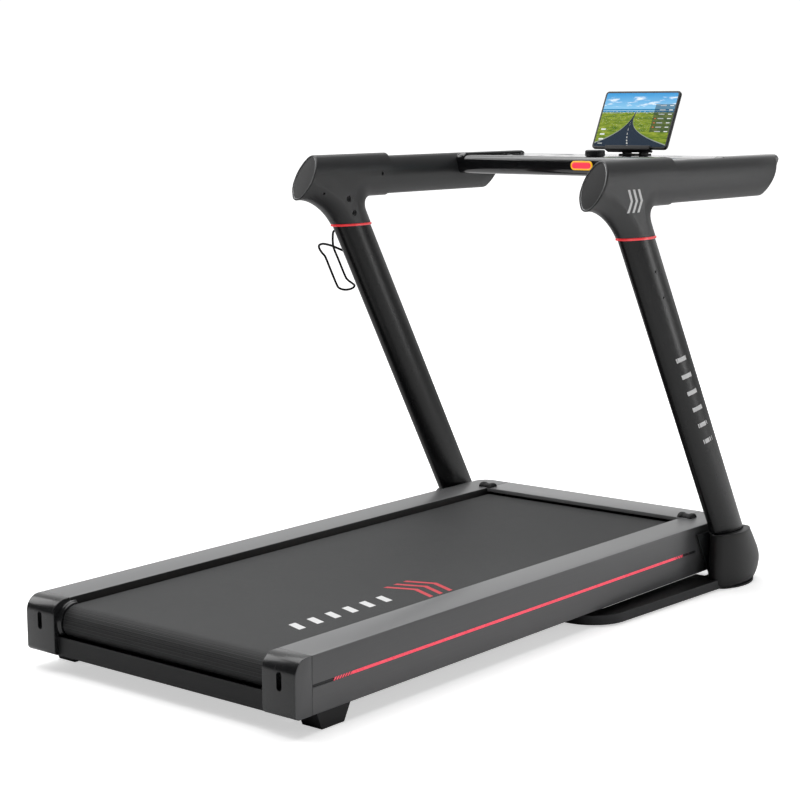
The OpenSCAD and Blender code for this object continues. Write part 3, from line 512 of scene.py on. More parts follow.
def nets(f, lo, hi, h):
    """Even quad mesh of the surface f = 0: one point in each grid cell the surface crosses, then moved onto it."""
    lo = np.array(lo, float)
    ax = [np.arange(lo[i], hi[i] + h, h) for i in range(3)]
    G = np.stack(np.meshgrid(*ax, indexing="ij"), -1)
    v = f(G.reshape(-1, 3)).reshape(G.shape[:3])
    s = v < 0
    sh = [k - 1 for k in s.shape]
    cnt = sum(s[i:sh[0] + i, j:sh[1] + j, k:sh[2] + k].astype(int) for i in (0, 1) for j in (0, 1) for k in (0, 1))
    mixed = (cnt > 0) & (cnt < 8)
    idx = -np.ones(mixed.shape, int)
    idx[mixed] = np.arange(mixed.sum())
    base = np.argwhere(mixed)
    acc, num = np.zeros((len(base), 3)), np.zeros(len(base))
    for axis in range(3):
        oth = [t for t in range(3) if t != axis]
        for a in (0, 1):
            for b in (0, 1):
                o1 = np.zeros(3, int)
                o1[oth[0]], o1[oth[1]] = a, b
                o2 = o1.copy()
                o2[axis] = 1
                p1, p2 = base + o1, base + o2
                v1, v2 = v[tuple(p1.T)], v[tuple(p2.T)]
                m = (v1 < 0) != (v2 < 0)
                t = np.where(m, v1 / np.where(v1 == v2, 1, v1 - v2), 0)
                acc[m] += p1[m] + t[m, None] * (o2 - o1)
                num += m
    P = acc / num[:, None] * h + lo
    F = []
    for axis in range(3):
        a1, a2 = [slice(None)] * 3, [slice(None)] * 3
        a1[axis], a2[axis] = slice(0, -1), slice(1, None)
        u, w = [t for t in range(3) if t != axis]
        E = np.argwhere(s[tuple(a1)] != s[tuple(a2)])
        E = E[(E[:, u] > 0) & (E[:, w] > 0) & (E[:, u] < sh[u]) & (E[:, w] < sh[w])]

        def cell(du, dw):
            q = E.copy()
            q[:, u] -= du
            q[:, w] -= dw
            return idx[tuple(q.T)]

        F.append(np.stack([cell(1, 1), cell(0, 1), cell(0, 0), cell(1, 0)], 1))
    F = np.concatenate(F)

    def project(P, it):
        for _ in range(it):
            g = np.stack([(f(P + d) - f(P - d)) / 0.1 for d in np.eye(3) * 0.05], 1)
            st = f(P)[:, None] * g / np.maximum((g * g).sum(1), 0.05)[:, None]
            L = np.linalg.norm(st, axis=1)[:, None]
            P = P - st * np.minimum(1, 0.5 * h / np.maximum(L, 1e-9))
        return P

    P = project(P, 2)
    for _ in range(3):
        A, c = np.zeros_like(P), np.zeros(len(P))
        for i in range(4):
            np.add.at(A, F[:, i], P[F[:, (i + 1) % 4]])
            np.add.at(c, F[:, i], 1)
            np.add.at(A, F[:, i], P[F[:, (i - 1) % 4]])
            np.add.at(c, F[:, i], 1)
        P = project(P + 0.5 * (A / c[:, None] - P), 2)
    return P, F


def oval_sdf(u, v, a, b, e):
    f = ((a - e) ** 2 + b * b - e * e) / (2 * (b - e))
    c = f - b
    return np.where((a - e) * (v + c) - c * u > 0, np.hypot(u, v + c) - f, np.hypot(u - (a - e), v) - e)


def rmax(a, b, k):
    return np.minimum(-k, np.maximum(a, b)) + np.hypot(np.maximum(a + k, 0), np.maximum(b + k, 0))


def runion(a, b, r):
    return np.maximum(r, np.minimum(a, b)) - np.hypot(np.maximum(r - a, 0), np.maximum(r - b, 0))


def sides(name, V, F, body, m, node_fmt, smooth=35, then=None):
    """The same shape on the left and, mirrored, on the right."""
    out = []
    for s, tag in ((1, "left"), (-1, "right")):
        o = make(f"{name}_{tag}", V if s > 0 else flip_y(V), F, body, m, raw=True, smooth=smooth)
        if then:
            then(o, s)
        out.append(put(o, body, [node_fmt.format(tag)] if node_fmt else ()))
    return out


# ------------------------------------------------------------------ uprights, rings, brackets
YC = 380.0
ZR = 791.5


def slice_oval(z, a, b, e, cx=None, n=96, yc=YC):
    p = oval(a, b, e, n)
    return np.stack([(ux(z) if cx is None else cx) + p[:, 0], yc + p[:, 1], np.full(n, z)], 1)


zs = [48, 60, 130, 250, 400, 550, 700, 790, 866]


def holes(o, s):
    for k in (-1, 1):
        z = 696.5 + k * 32 * COS
        cut(o, cyl("t", (ux(z), s * 388, z), (ux(z), s * 408, z), 2.5))


# the horizontal cut of the tilted tube is its true oval stretched fore and aft
def tube_slice(z, n=120):
    p = oval(51, 22, 14, n)
    return np.stack([ux(z) + p[:, 0] / COS, YC + p[:, 1], np.full(n, z)], 1)


V, F = loft([tube_slice(z) for z in zs])
sides("upright", V, F, "base", "tube_black", "upright_{}", then=holes)

prof = [(0, 0.0), (0.35, 0.0), (1.2, 0.9), (3.8, 0.9), (4.65, 0.0), (5.0, 0.0)]
outer = [slice_oval(ZR + dz, 61.2 + g, 25.2 + g, 16.2 + g, cx=ux(794)) for dz, g in ((0, 0), (0.5, 0.5), (1.4, 0.8), (3.6, 0.8), (4.5, 0.5), (5, 0))]
inner = []
for z in (ZR + 5, ZR):
    p = oval(51.2, 22.2, 14.2, 96)
    inner.append(np.stack([ux(z) + p[:, 0] / COS, YC + p[:, 1], np.full(96, z)], 1))
V, F = loft(outer + inner, wrap=True)
sides("ring", V, F, "base", "ring_red", "ring_{}")

TS = rad(30.26)


def bracket_f(P):
    x, y, z = P[:, 0], np.abs(P[:, 1] - YC), P[:, 2]
    d1 = np.abs(z - 903.5) - 48.5
    d2 = np.abs(x - ux(z)) * COS - 53.7
    # the fillet behind the neck is wide, the one in front of it tight
    q = np.clip((x - ux(z) + 12) / 50, 0, 1)
    low = np.maximum(48.5 + runion(d1, d2, 68.0 - 36.0 * q * q * (3 - 2 * q)), 0)
    u = np.where(z < 903.5, low, np.abs(z - 903.5))
    t = np.clip((z - 797) / 75, 0, 1)
    b = 26 + 2 * t * t * (3 - 2 * t)
    g = oval_sdf(u, y * 28 / b, 48.5, 28, 17)
    g = np.maximum(g, x - 1108)
    g = rmax(g, -(x - 800) * math.cos(TS) + (z - 856) * math.sin(TS), 1.8)
    return rmax(g, 796.7 - z, 0.7)


def nets_ring(rings):
    """A closed band swept through matching rings, first joined to last."""
    n, m = len(rings[0]), len(rings)
    V = np.concatenate(rings)
    F = [(i * n + j, i * n + (j + 1) % n, ((i + 1) % m) * n + (j + 1) % n, ((i + 1) % m) * n + j) for i in range(m) for j in range(n)]
    return V, F


BV, BF = nets(bracket_f, (796, 350, 794), (1112, 410, 954), 2.0)


def end_oval(x_of_z, a, b, e, n=96, zc=903.5):
    p = oval(a, b, e, n)
    z = zc + p[:, 0]
    return np.stack([x_of_z(z), YC + p[:, 1], z], 1)


def bracket_cuts(o, s):
    pocket = loft([end_oval(lambda z: z * 0 + 700, 46, 25.5, 14.5), end_oval(lambda z: 800 + (z - 856) * math.tan(TS) + 7.5, 46, 25.5, 14.5)])
    cut(o, box("t", 1100, 1130, *sorted((s * 340, s * 420)), 840, 965, 0, None, "hole", raw=True))
    pv = pocket[0] if s > 0 else flip_y(pocket[0])
    cut(o, make("t", pv, pocket[1], None, "hole", raw=True))
    for x, z in ((945, 853), (965, 821)):
        cut(o, cyl("t", (x, s * 340, z), (x, s * 356, z), 7.0))
    for x, z, r in ((1062, 906, 4.2), (865, 868, 2.8), (1013, 850, 3.2)):
        cut(o, cyl("t", (x, s * 340, z), (x, s * 362, z), r, n=24))


brackets = sides("bracket", BV, BF, "base", "bracket", "bracket_{}", then=bracket_cuts, smooth=40)

cr = []
for d, g in ((6.9, 0), (2.6, 0), (1.9, 0.25), (1.45, 0.9), (1.4, 1.5)):
    cr.append(end_oval(lambda z, d=d: 800 + (z - 856) * math.tan(TS) + d / math.cos(TS) * 0.999, 45.9 - g, 25.4 - g, 14.4 - g))
V, F = loft(cr)
sides("bracket_cap", V, F, "base", "cap_black", "bracket_cap_{}")
# painted highlight: a thin pale ring round each bracket cap stands in for the highlight on its bevelled edge
rim = [end_oval(lambda z, d=d: 800 + (z - 856) * math.tan(TS) + d, 45.9 - g, 25.4 - g, 14.4 - g) for d, g in ((2.0, 0.35), (1.15, 0.45), (0.95, 0.9), (1.15, 1.35), (2.0, 1.45))]
V, F = nets_ring(rim)
sides("cap_highlight_rim", V, F, "base", "rim", None)

# hex socket screws on the brackets' inner faces
parts = []
for s in (1, -1):
    for x, z in ((945, 853), (965, 821)):
        t = np.linspace(0, 2 * math.pi, 36, endpoint=False)
        ring = lambda y, r: np.stack([x + r * np.cos(t), np.full(36, s * y), z + r * np.sin(t)], 1)
        hexr = lambda y, r: np.stack([x + np.cos(t) * r / np.cos((t % (math.pi / 3)) - math.pi / 6), np.full(36, s * y), z + np.sin(t) * r / np.cos((t % (math.pi / 3)) - math.pi / 6)], 1)
        v, f = loft([ring(363, 2.5), ring(356, 2.5), ring(356, 4.5), ring(353.6, 4.5), ring(352.9, 3.9), hexr(352.8, 2.35), hexr(354.8, 2.3)])
        parts.append((v, f))
V, F = merge(parts)
make("bracket_screws_mesh", V, F, "base", "cap_black", "bare_steel", ["bracket_screws"])

# ------------------------------------------------------------------ handrails
TH = rad(34.6)


def rail_x(z):
    return 1475 + (z - 858) * math.tan(TH)


def hr_ring(xf, g=0.0, n=96):
    p = oval(43.5 - g, 25 - g, 15 - g, n)
    z = 901.6 + p[:, 0]
    return np.stack([xf(z), YC + p[:, 1], z], 1)


outer = [hr_ring(lambda z, x=x: z * 0 + x) for x in (1012, 1080, 1140, 1220, 1300, 1380, 1440)]
outer += [hr_ring(lambda z: rail_x(z) - 3.0), hr_ring(lambda z: rail_x(z) - 0.9, 0.25), hr_ring(lambda z: rail_x(z) - 0.1, 0.9)]
inner = [hr_ring(lambda z: rail_x(z) - 0.1, 1.8), hr_ring(lambda z: rail_x(z) - 0.8, 2.4), hr_ring(lambda z: rail_x(z) - 12, 2.5), hr_ring(lambda z: z * 0 + 1012, 2.5)]
V, F = loft(outer + inner, wrap=True)
sides("handrail", V, F, "base", "handrail", "handrail_{}")
parts = []
for s in (1, -1):
    v, f = loft([hr_ring(lambda z: rail_x(z) - 9.0, 2.6), hr_ring(lambda z: rail_x(z) - 2.2, 2.6), hr_ring(lambda z: rail_x(z) - 1.5, 3.0), hr_ring(lambda z: rail_x(z) - 1.2, 4.2), hr_ring(lambda z: rail_x(z) - 1.2, 7.5), hr_ring(lambda z: rail_x(z) - 1.9, 8.5)])
    parts.append((v if s > 0 else flip_y(v), f))
V, F = merge(parts)
make("handrail_plugs_mesh", V, F, "base", "cap_black", "cap_black", ["handrail_plugs"])

# ------------------------------------------------------------------ boots at the foot of each upright
BZ = np.array([4.2, 7, 12, 20, 32, 48, 66, 90, 110, 118, 121.5, 123.2, 124.0])
BF_ = np.array([1458, 1464, 1471, 1478.5, 1484.5, 1487.5, 1481.5, 1466, 1451.5, 1445, 1443.4, 1442.2, 1440.6])
BR_ = np.array([1319, 1312, 1305, 1301.5, 1302, 1303, 1304, 1306, 1307, 1307.6, 1308, 1308.8, 1310])
BC, BA = (BF_ + BR_) / 2, (BF_ - BR_) / 2
BB = np.array([28, 31.5, 34.5, 36.4, 37.0, 37.0, 36.5, 35.6, 34.8, 34.6, 34.4, 33.8, 32.8])


def interp(z, A):
    # smooth cubic through the listed sections
    i = np.clip(np.searchsorted(BZ, z) - 1, 0, len(BZ) - 2)
    m = np.gradient(A, BZ)
    h = BZ[i + 1] - BZ[i]
    t = (z - BZ[i]) / h
    return (2 * t ** 3 - 3 * t * t + 1) * A[i] + (t ** 3 - 2 * t * t + t) * h * m[i] + (-2 * t ** 3 + 3 * t * t) * A[i + 1] + (t ** 3 - t * t) * h * m[i + 1]


def boot_ring(z, g=0.0, n=120, low=357.9):
    a, b, c = interp(z, BA), interp(z, BB), interp(z, BC)
    p = oval(a - g, b - g, 19.5 - g * 0.5, n)
    q = np.stack([c + p[:, 0], 386 + p[:, 1], np.full(n, z)], 1)
    q[:, 1] = np.maximum(q[:, 1], low + g * 0.3)
    return q


zz = np.concatenate([[4.2, 5, 6.2, 8, 10, 13, 16], np.linspace(20, 112, 26), [116, 119, 121, 122.4, 123.4, 124.0]])
outer = [boot_ring(z) for z in zz]


def collar(z, g, n=120):
    p = oval(51 + g, 22 + g, 14 + g, n)
    q = np.stack([ux(z) + p[:, 0] / COS, YC + p[:, 1], np.full(n, z)], 1)
    q[:, 1] = np.maximum(q[:, 1], 357.95)
    return q


inner = [collar(124.0, 1.7), collar(123.4, 0.9), collar(122, 0.6), collar(60, 0.6), collar(24, 0.6)]
V, F = loft(outer + inner)
sides("boot", V, F, "base", "boot", "boot_{}", smooth=50)

# ------------------------------------------------------------------ deck: rails, rear caps, cover
rl, rh = bx("rail_left")
HW, RIN, ZB, ZT = 350.0, 271.0, rl[2], rh[2]
DL = rh[0]
RR = 34.0


def rail_mesh(o, s):
    bev(o, 2.2, 4, 40)
    g0, g1 = sorted((s * 348.5, s * 352))
    c = make("t", *extrude(rrect(34.3, 82.5, 1289, 88.5, 1.2, 3), "y", g0, g1), None, "stripe_dark", raw=True)
    cut(o, c)
    a, b = sorted((s * (RIN - 1), s * (RIN + 5)))
    cut(o, make("t", *extrude(rrect(28, 87.4, 58, 102.6, 2), "y", a, b), None, "hole", raw=True))
    o.data.materials.append(M["stripe_dark"])
    for f_ in o.data.polygons:
        if abs(abs(f_.center.y) * 1000 - RIN) < 1.0 and abs(f_.normal.y) > 0.7:
            f_.material_index = len(o.data.materials) - 1


poly = [(34.15, RIN), (DL, RIN)]
for t in np.linspace(0, 90, 13):
    poly.append((DL - RR + RR * math.cos(rad(t)), HW - RR + RR * math.sin(rad(t))))
poly += [(34.15, HW)]
V, F = extrude(np.array(poly), "z", ZB, ZT)
sides("rail", V, F, "deck", "rail", "rail_{}", then=rail_mesh, smooth=30)
# strips in the dark grooves at both ends of the red insert
parts = []
for s in (1, -1):
    for a, b in ((36, 89.6), (1262.4, 1287)):
        y0, y1 = sorted((s * 348.6, s * 348.9))
        parts.append(extrude(rrect(a, 82.8, b, 88.2, 0.8, 3), "y", y0, y1))
V, F = merge(parts)
make("stripe_end_strips", V, F, "deck", "stripe_dark", "cap_black")

# rear caps: big round top corner, small bottom corner, soft edges all round, slotted adjuster window
cp = []
x0, x1, rt, rb = -8.0, 34.0, 30.0, 10.0
for t in np.linspace(180, 90, 15):
    cp.append((x0 + rt + rt * math.cos(rad(t)), ZT - rt + rt * math.sin(rad(t))))
cp += [(x1, ZT), (x1, ZB)]
for t in np.linspace(270, 180, 8):
    cp.append((x0 + rb + rb * math.cos(rad(t)), ZB + rb + rb * math.sin(rad(t))))


def cap_cuts(o, s):
    bev(o, 1.6, 4, 50)
    sl = rrect(s * 311.5 - 6, 80, s * 311.5 + 6, 114, 5.9, 6)
    cut(o, make("t", *extrude(sl, "x", -20, 8), None, "hole", raw=True))
    c = cyl("t", (5, s * 311.5, 95), (40, s * 311.5, 95), 7.0)
    cut(o, c)
    a, b = sorted((s * 270, s * 330))
    cut(o, make("t", *extrude(rrect(26, 86, 40, 104, 2), "y", a, b), None, "hole", raw=True))
    o.data.materials.append(M["cap_side"])
    k_ = len(o.data.materials) - 1
    for f_ in o.data.polygons:
        if f_.center.y * s * 1000 > HW - 1.2 and f_.normal.y * s > 0.55:
            f_.material_index = k_


V, F = extrude(np.array(cp), "y", RIN + 0.0, HW)
sides("rear_cap", V, F, "deck", "rear_cap", "rear_cap_{}", then=cap_cuts, smooth=30)

lo, hi = bx("front_cover")
o = box("front_cover_mesh", lo[0], hi[0], lo[1], hi[1], lo[2], hi[2], 0, "deck", "cover", raw=True)
hollow = box("t", lo[0] + 3, hi[0] - 3, lo[1] - 5, hi[1] + 5, lo[2] - 5, hi[2] - 3, 0, None, "hole", raw=True)
cut(o, hollow)
cut(o, box("t", lo[0] - 5, lo[0] + 5, lo[1] - 5, hi[1] + 5, lo[2] - 5, hi[2] - 9, 0, None, "hole", raw=True))
cut(o, box("t", hi[0] - 10, hi[0] + 5, 144.8, 215.2, 59.8, 90.2, 0, None, "hole", raw=True))
bev(o, 1.0, 3, 40, smooth=30)
put(o, "deck", ["front_cover"])

# round guards beside the belt at the rear roller
RX, RZ = 38.0, 95.0
parts = []
for s in (1, -1):
    prof = [(262.6, 34.2), (263.2, 35.4), (264.8, 36.0), (266.0, 37.4), (267.6, 38.9), (270.4, 39.2), (270.4, 30.5), (262.6, 30.5)]
    ang = np.linspace(rad(78), rad(282), 41)
    rings = []
    for t in ang:
        rings.append(np.array([(RX + r * math.cos(t), s * y, RZ + r * math.sin(t)) for y, r in prof]))
    parts.append(loft(rings))
V, F = merge(parts)
make("roller_guards", V, F, "deck", "rear_cap", "rear_cap_plastic", smooth=40)

# ------------------------------------------------------------------ running belt with length and width coordinates
bl, bh = bx("running_belt")
XF, HB = 1338.0, 260.0
ro, ri = 32.5, 30.15


def stadium(r, ka=49):
    P, S = [], []
    s = 0.0
    top = np.linspace(XF, RX, 60)
    for x in top:
        P.append((x, RZ + r))
        S.append(XF - x)
    for t in np.linspace(90, 270, ka)[1:]:
        P.append((RX + r * math.cos(rad(t)), RZ + r * math.sin(rad(t))))
        S.append(XF - RX + rad(t - 90) * ro)
    for x in np.linspace(RX, XF, 60)[1:]:
        P.append((x, RZ - r))
        S.append(XF - RX + math.pi * ro + x - RX)
    for t in np.linspace(-90, 90, ka)[1:-1]:
        P.append((XF + r * math.cos(rad(t)), RZ + r * math.sin(rad(t))))
        S.append(2 * (XF - RX) + math.pi * ro + rad(t + 90) * ro)
    return np.array(P), np.array(S)


ys = [-HB, -HB + 0.5, -173, -87, 0, 87, 173, HB - 0.5, HB]
Po, S = stadium(ro)
Pe, _ = stadium(ro - 0.5)
Pi, _ = stadium(ri)
rings = []
cols = [(-HB, Pi), (-HB, Pe)] + [(y, Po) for y in ys[1:-1]] + [(HB, Pe), (HB, Pi)]
for y, P in cols:
    rings.append(np.stack([P[:, 0], np.full(len(P), y), P[:, 1]], 1))
n = len(S)
V = np.concatenate(rings)
F = []
k = len(rings)
for i in range(k):
    a, b = i * n, ((i + 1) % k) * n
    for j in range(n):
        F.append((a + j, a + (j + 1) % n, b + (j + 1) % n, b + j))
me = bpy.data.meshes.new("running_belt_mesh")
me.from_pydata([tuple(p) for p in W(V)], [], F)
uvl = me.uv_layers.new(name="UVMap")
T = 2 * (XF - RX) + 2 * math.pi * ro
for poly_ in me.polygons:
    js = [v % n for v in poly_.vertices]
    wrapq = max(js) - min(js) > n // 2
    for li, vi in zip(poly_.loop_indices, poly_.vertices):
        j = vi % n
        s_ = S[j] + (T if wrapq and j < n // 2 else 0)
        uvl.data[li].uv = (s_ / 1000, V[vi][1] / 1000)
bm = bmesh.new(); bm.from_mesh(me); bmesh.ops.recalc_face_normals(bm, faces=bm.faces); bm.to_mesh(me); bm.free()
me.shade_smooth(); me.set_sharp_from_angle(angle=rad(40))
o = bpy.data.objects.new("running_belt_mesh", me)
SC.collection.objects.link(o)
me.materials.append(M["belt"])
put(o, "deck", ["running_belt"])

# ------------------------------------------------------------------ fold bumpers: short half-round rolls with a ringed end
parts = []
for s in (1, -1):
    prof = [(1.0, 0.1), (1.0, 9.0), (0.2, 9.6), (0, 12.2), (0.8, 13.6), (2.6, 14.5), (8, 14.5), (10, 13.4), (11.5, 11.8), (13, 11.3), (23, 11.3),
            (24.5, 11.8), (26, 13.4), (28, 14.5), (33.4, 14.5), (35.2, 13.6), (36, 12.2), (35.8, 9.6), (35, 9.0), (35, 0.1)]
    rings = []
    for d, r in prof:
        rings.append(np.array([(1366 + r * math.cos(a), s * (262 + d), ZT + r * math.sin(a) * 0.68) for a in np.linspace(0, math.pi, 25)]))
    v = np.concatenate(rings)
    n = 25
    f = []
    for i in range(len(rings) - 1):
        for j in range(n - 1):
            f.append((i * n + j, i * n + j + 1, (i + 1) * n + j + 1, (i + 1) * n + j))
        f.append((i * n + n - 1, i * n, (i + 1) * n, (i + 1) * n + n - 1))
    f.append(tuple(range(n)))
    f.append(tuple(range((len(rings) - 1) * n, len(rings) * n)))
    parts.append((v, f))
V, F = merge(parts)
make("fold_bumpers_mesh", V, F, "deck", "rubber", "black_rubber", ["fold_bumpers"], smooth=40)

# ------------------------------------------------------------------ console
cl, ch = bx("console_tray")
CX0, CX1, CZ0, CZ1 = cl[0], ch[0], cl[2], ch[2]
R = 12.0
half = []


def tray_ring(y, d, top):
    p = rrect(CX0 + d, CZ0 + d, CX1 - d, top - d, 14 - d * 0.8, 8)
    return np.stack([p[:, 0], np.full(len(p), float(y)), p[:, 1]], 1)


# the ends stand a little proud of the glass where they close round the handrails
for y, t_ in ((337.4, 0), (338.2, 2.4), (339.8, 5.0), (343, 6.3)):
    half.append(tray_ring(y, 0, CZ1 + t_))
for ph in np.linspace(0, 90, 9):
    half.append(tray_ring(368 - R + R * math.sin(rad(ph)), R * (1 - math.cos(rad(ph))), CZ1 + 6.3))
V, F = loft([flip_y(h_) for h_ in half[::-1]] + half)
o = make("console_tray_mesh", V, F, None, "console", raw=True, smooth=40)
for s in (1, -1):
    v, f = loft([hr_ring(lambda z: z * 0 + 1300, -0.3), hr_ring(lambda z: z * 0 + 1650, -0.3)])
    cut(o, make("t", v if s > 0 else flip_y(v), f, None, "hole", raw=True), smooth=40)
gl, gh = bx("console_glass")
cut(o, make("t", *extrude(rrect(gl[0] - 0.2, gl[1] - 0.2, gh[0] + 0.2, gh[1] + 0.2, 12, 6), "z", gl[2] - 0.1, CZ1 + 3), None, "hole", raw=True), smooth=40)
key = [(18.75 * sx + 11.1 * math.cos(rad(t)), 921 + 11.1 * math.sin(rad(t))) for sx, a0 in ((1, -90), (-1, 90)) for t in np.linspace(a0, a0 + 180, 13)]
cut(o, make("t", *extrude(np.array(key), "x", CX0 - 5, CX0 + 4.2), None, "hole", raw=True), smooth=40)
cut(o, cyl("t", (1400, 0, 915), (1400, 0, 945), 6.07), smooth=40)
put(o, "base", ["console_tray"])

o = make("console_glass_mesh", *extrude(rrect(gl[0], gl[1], gh[0], gh[1], 12, 8), "z", gl[2], gh[2]), None, "glass", raw=True)
bev(o, 0.5, 2, 50)
cut(o, cyl("t", (1400, 0, 930), (1400, 0, 945), 6.5))
put(o, "base", ["console_glass"])

# plain touch marks on the glass: dots, bars and triangles
parts = []


def flat(poly, z0=940.02, z1=940.12):
    return extrude(np.array(poly, float), "z", z0, z1)


def bar(cx, cy, lx, ly):
    return flat(rrect(cx - lx / 2, cy - ly / 2, cx + lx / 2, cy + ly / 2, min(lx, ly) * 0.45, 3))


def disc(cx, cy, r, n=24):
    return flat([(cx + r * math.cos(t), cy + r * math.sin(t)) for t in np.linspace(0, 2 * math.pi, n, endpoint=False)])


for s in (1, -1):
    for i, y in enumerate((70, 115, 160, 205, 250)):
        y *= s
        if i in (0, 4):
            parts.append(flat([(1408, y - 7), (1408, y + 7), (1421, y)]))
        elif i in (1, 3):
            parts.append(bar(1414, y, 3, 13)); parts.append(bar(1414, y + 0.001, 13, 3)) if i == 3 else parts.append(disc(1402, y, 1.6))
        else:
            parts.append(bar(1411, y - 4, 13, 3)); parts.append(bar(1411, y + 4, 13, 3))
    for j in range(4):
        parts.append(bar(1480 + 12 * j, s * 150, 3, 60 - 12 * j))
V, F = merge(parts)
make("console_touch_marks", V, F, "base", "mark_dim", "console_glass")

# safety key: yellow rim, red domed insert
def stadium_yz(hl, r, z=921.0, n=14):
    return np.array([(hl * sx + r * math.cos(rad(t)), z + r * math.sin(rad(t))) for sx, a0 in ((1, -90), (-1, 90)) for t in np.linspace(a0, a0 + 180, n)])


def yz(p, x):
    return np.stack([np.full(len(p), x), p[:, 0], p[:, 1]], 1)


stem = lathe((0, 0, 921), (1, 0, 0), [(0, 0)], 28)
rings = [yz(stadium_yz(18.75, 7.1), CX0 - 0.6), yz(stadium_yz(18.75, 7.4), CX0 - 2.1), yz(stadium_yz(18.75, 8.0), CX0 - 2.5), yz(stadium_yz(18.75, 9.9), CX0 - 2.5), yz(stadium_yz(18.75, 10.4), CX0 - 1.9), yz(stadium_yz(18.75, 10.5), CX0 + 0.5), yz(stadium_yz(18.75, 10.5), CX0 + 4)]
V1 = loft(rings)
t = np.linspace(0, 2 * math.pi, 32, endpoint=False)
st = loft([np.stack([np.full(32, x), r * np.cos(t), 921 + r * np.sin(t)], 1) for x, r in ((CX0 + 4, 5), (CX0 + 8, 5), (CX0 + 8.5, 4.5))])
V, F = merge([V1, st])
make("safety_key_body", V, F, "safety_key", "key_yellow", "key_red", ["safety_key"])
V, F = loft([yz(stadium_yz(18.75, 7.0), CX0 - 0.7), yz(stadium_yz(18.75, 7.0), CX0 - 1.8), yz(stadium_yz(18.75, 6.3), CX0 - 2.3), yz(stadium_yz(18.6, 4.5), CX0 - 2.45), yz(stadium_yz(18.4, 1.2), CX0 - 2.5)])
make("safety_key_insert", V, F, "safety_key", "key_red", "key_red")

# dial: fluted skirt under a dished top
rings = []
nn = 144
tt = np.linspace(0, 2 * math.pi, nn, endpoint=False)
z0 = 940.4
for z, r, fl in ((0, 20.5, 0), (0.8, 21.8, 0), (1.6, 22.6, 0.1), (2.6, 22.9, 0.8), (11.2, 22.9, 0.8), (12.6, 22.7, 0.2), (13.7, 21.9, 0), (14.4, 20.6, 0), (14.6, 19.4, 0), (14.3, 18.2, 0), (13.7, 15, 0), (13.5, 8, 0), (13.5, 1, 0)):
    rr = r - fl * (0.5 + 0.5 * np.cos(tt * 36))
    rings.append(np.stack([1400 + rr * np.cos(tt), rr * np.sin(tt), np.full(nn, z0 + z)], 1))
v1 = loft(rings)
sh = loft([np.stack([1400 + r * np.cos(t), r * np.sin(t), np.full(32, z)], 1) for z, r in ((922, 5.5), (922.5, 6), (940.3, 6))])
V, F = merge([v1, sh])
make("dial_mesh", V, F, "dial", "dial", "dial_black", ["dial"])

# ------------------------------------------------------------------ tablet, its cradle and stand
TT = rad(25.6)
TP = np.array([1537.5, 0, 955.0])


def tab(V):
    V = np.array(V, float)
    x, z = V[:, 0] * math.cos(TT) + V[:, 2] * math.sin(TT), -V[:, 0] * math.sin(TT) + V[:, 2] * math.cos(TT)
    return np.stack([TP[0] + x, V[:, 1], TP[2] + z], 1)


def slab(x0, x1, y0, y1, z0, z1, r, e, k=8):
    """Rounded plate facing local -x: outline radius r, edge rounding e."""
    rings = []
    for ph in np.linspace(0, 90, 6):
        d = e * (1 - math.sin(rad(ph)))
        p = rrect(y0 + d, z0 + d, y1 - d, z1 - d, r - d, k)
        rings.append(np.stack([np.full(len(p), x0 + e * (1 - math.cos(rad(90 - ph))) if False else x0 + e - e * math.cos(rad(ph))), p[:, 0], p[:, 1]], 1))
    back = []
    for ph in np.linspace(90, 0, 6):
        d = e * (1 - math.sin(rad(ph)))
        p = rrect(y0 + d, z0 + d, y1 - d, z1 - d, r - d, k)
        back.append(np.stack([np.full(len(p), x1 - e + e * math.cos(rad(ph))), p[:, 0], p[:, 1]], 1))
    return loft(rings + back)


v, f = slab(0, 8, -104, 104, 0, 148, 9, 2.2)
make("tablet_mesh", tab(v), f, "tablet_mount", "tablet", "tablet_black", ["tablet"])


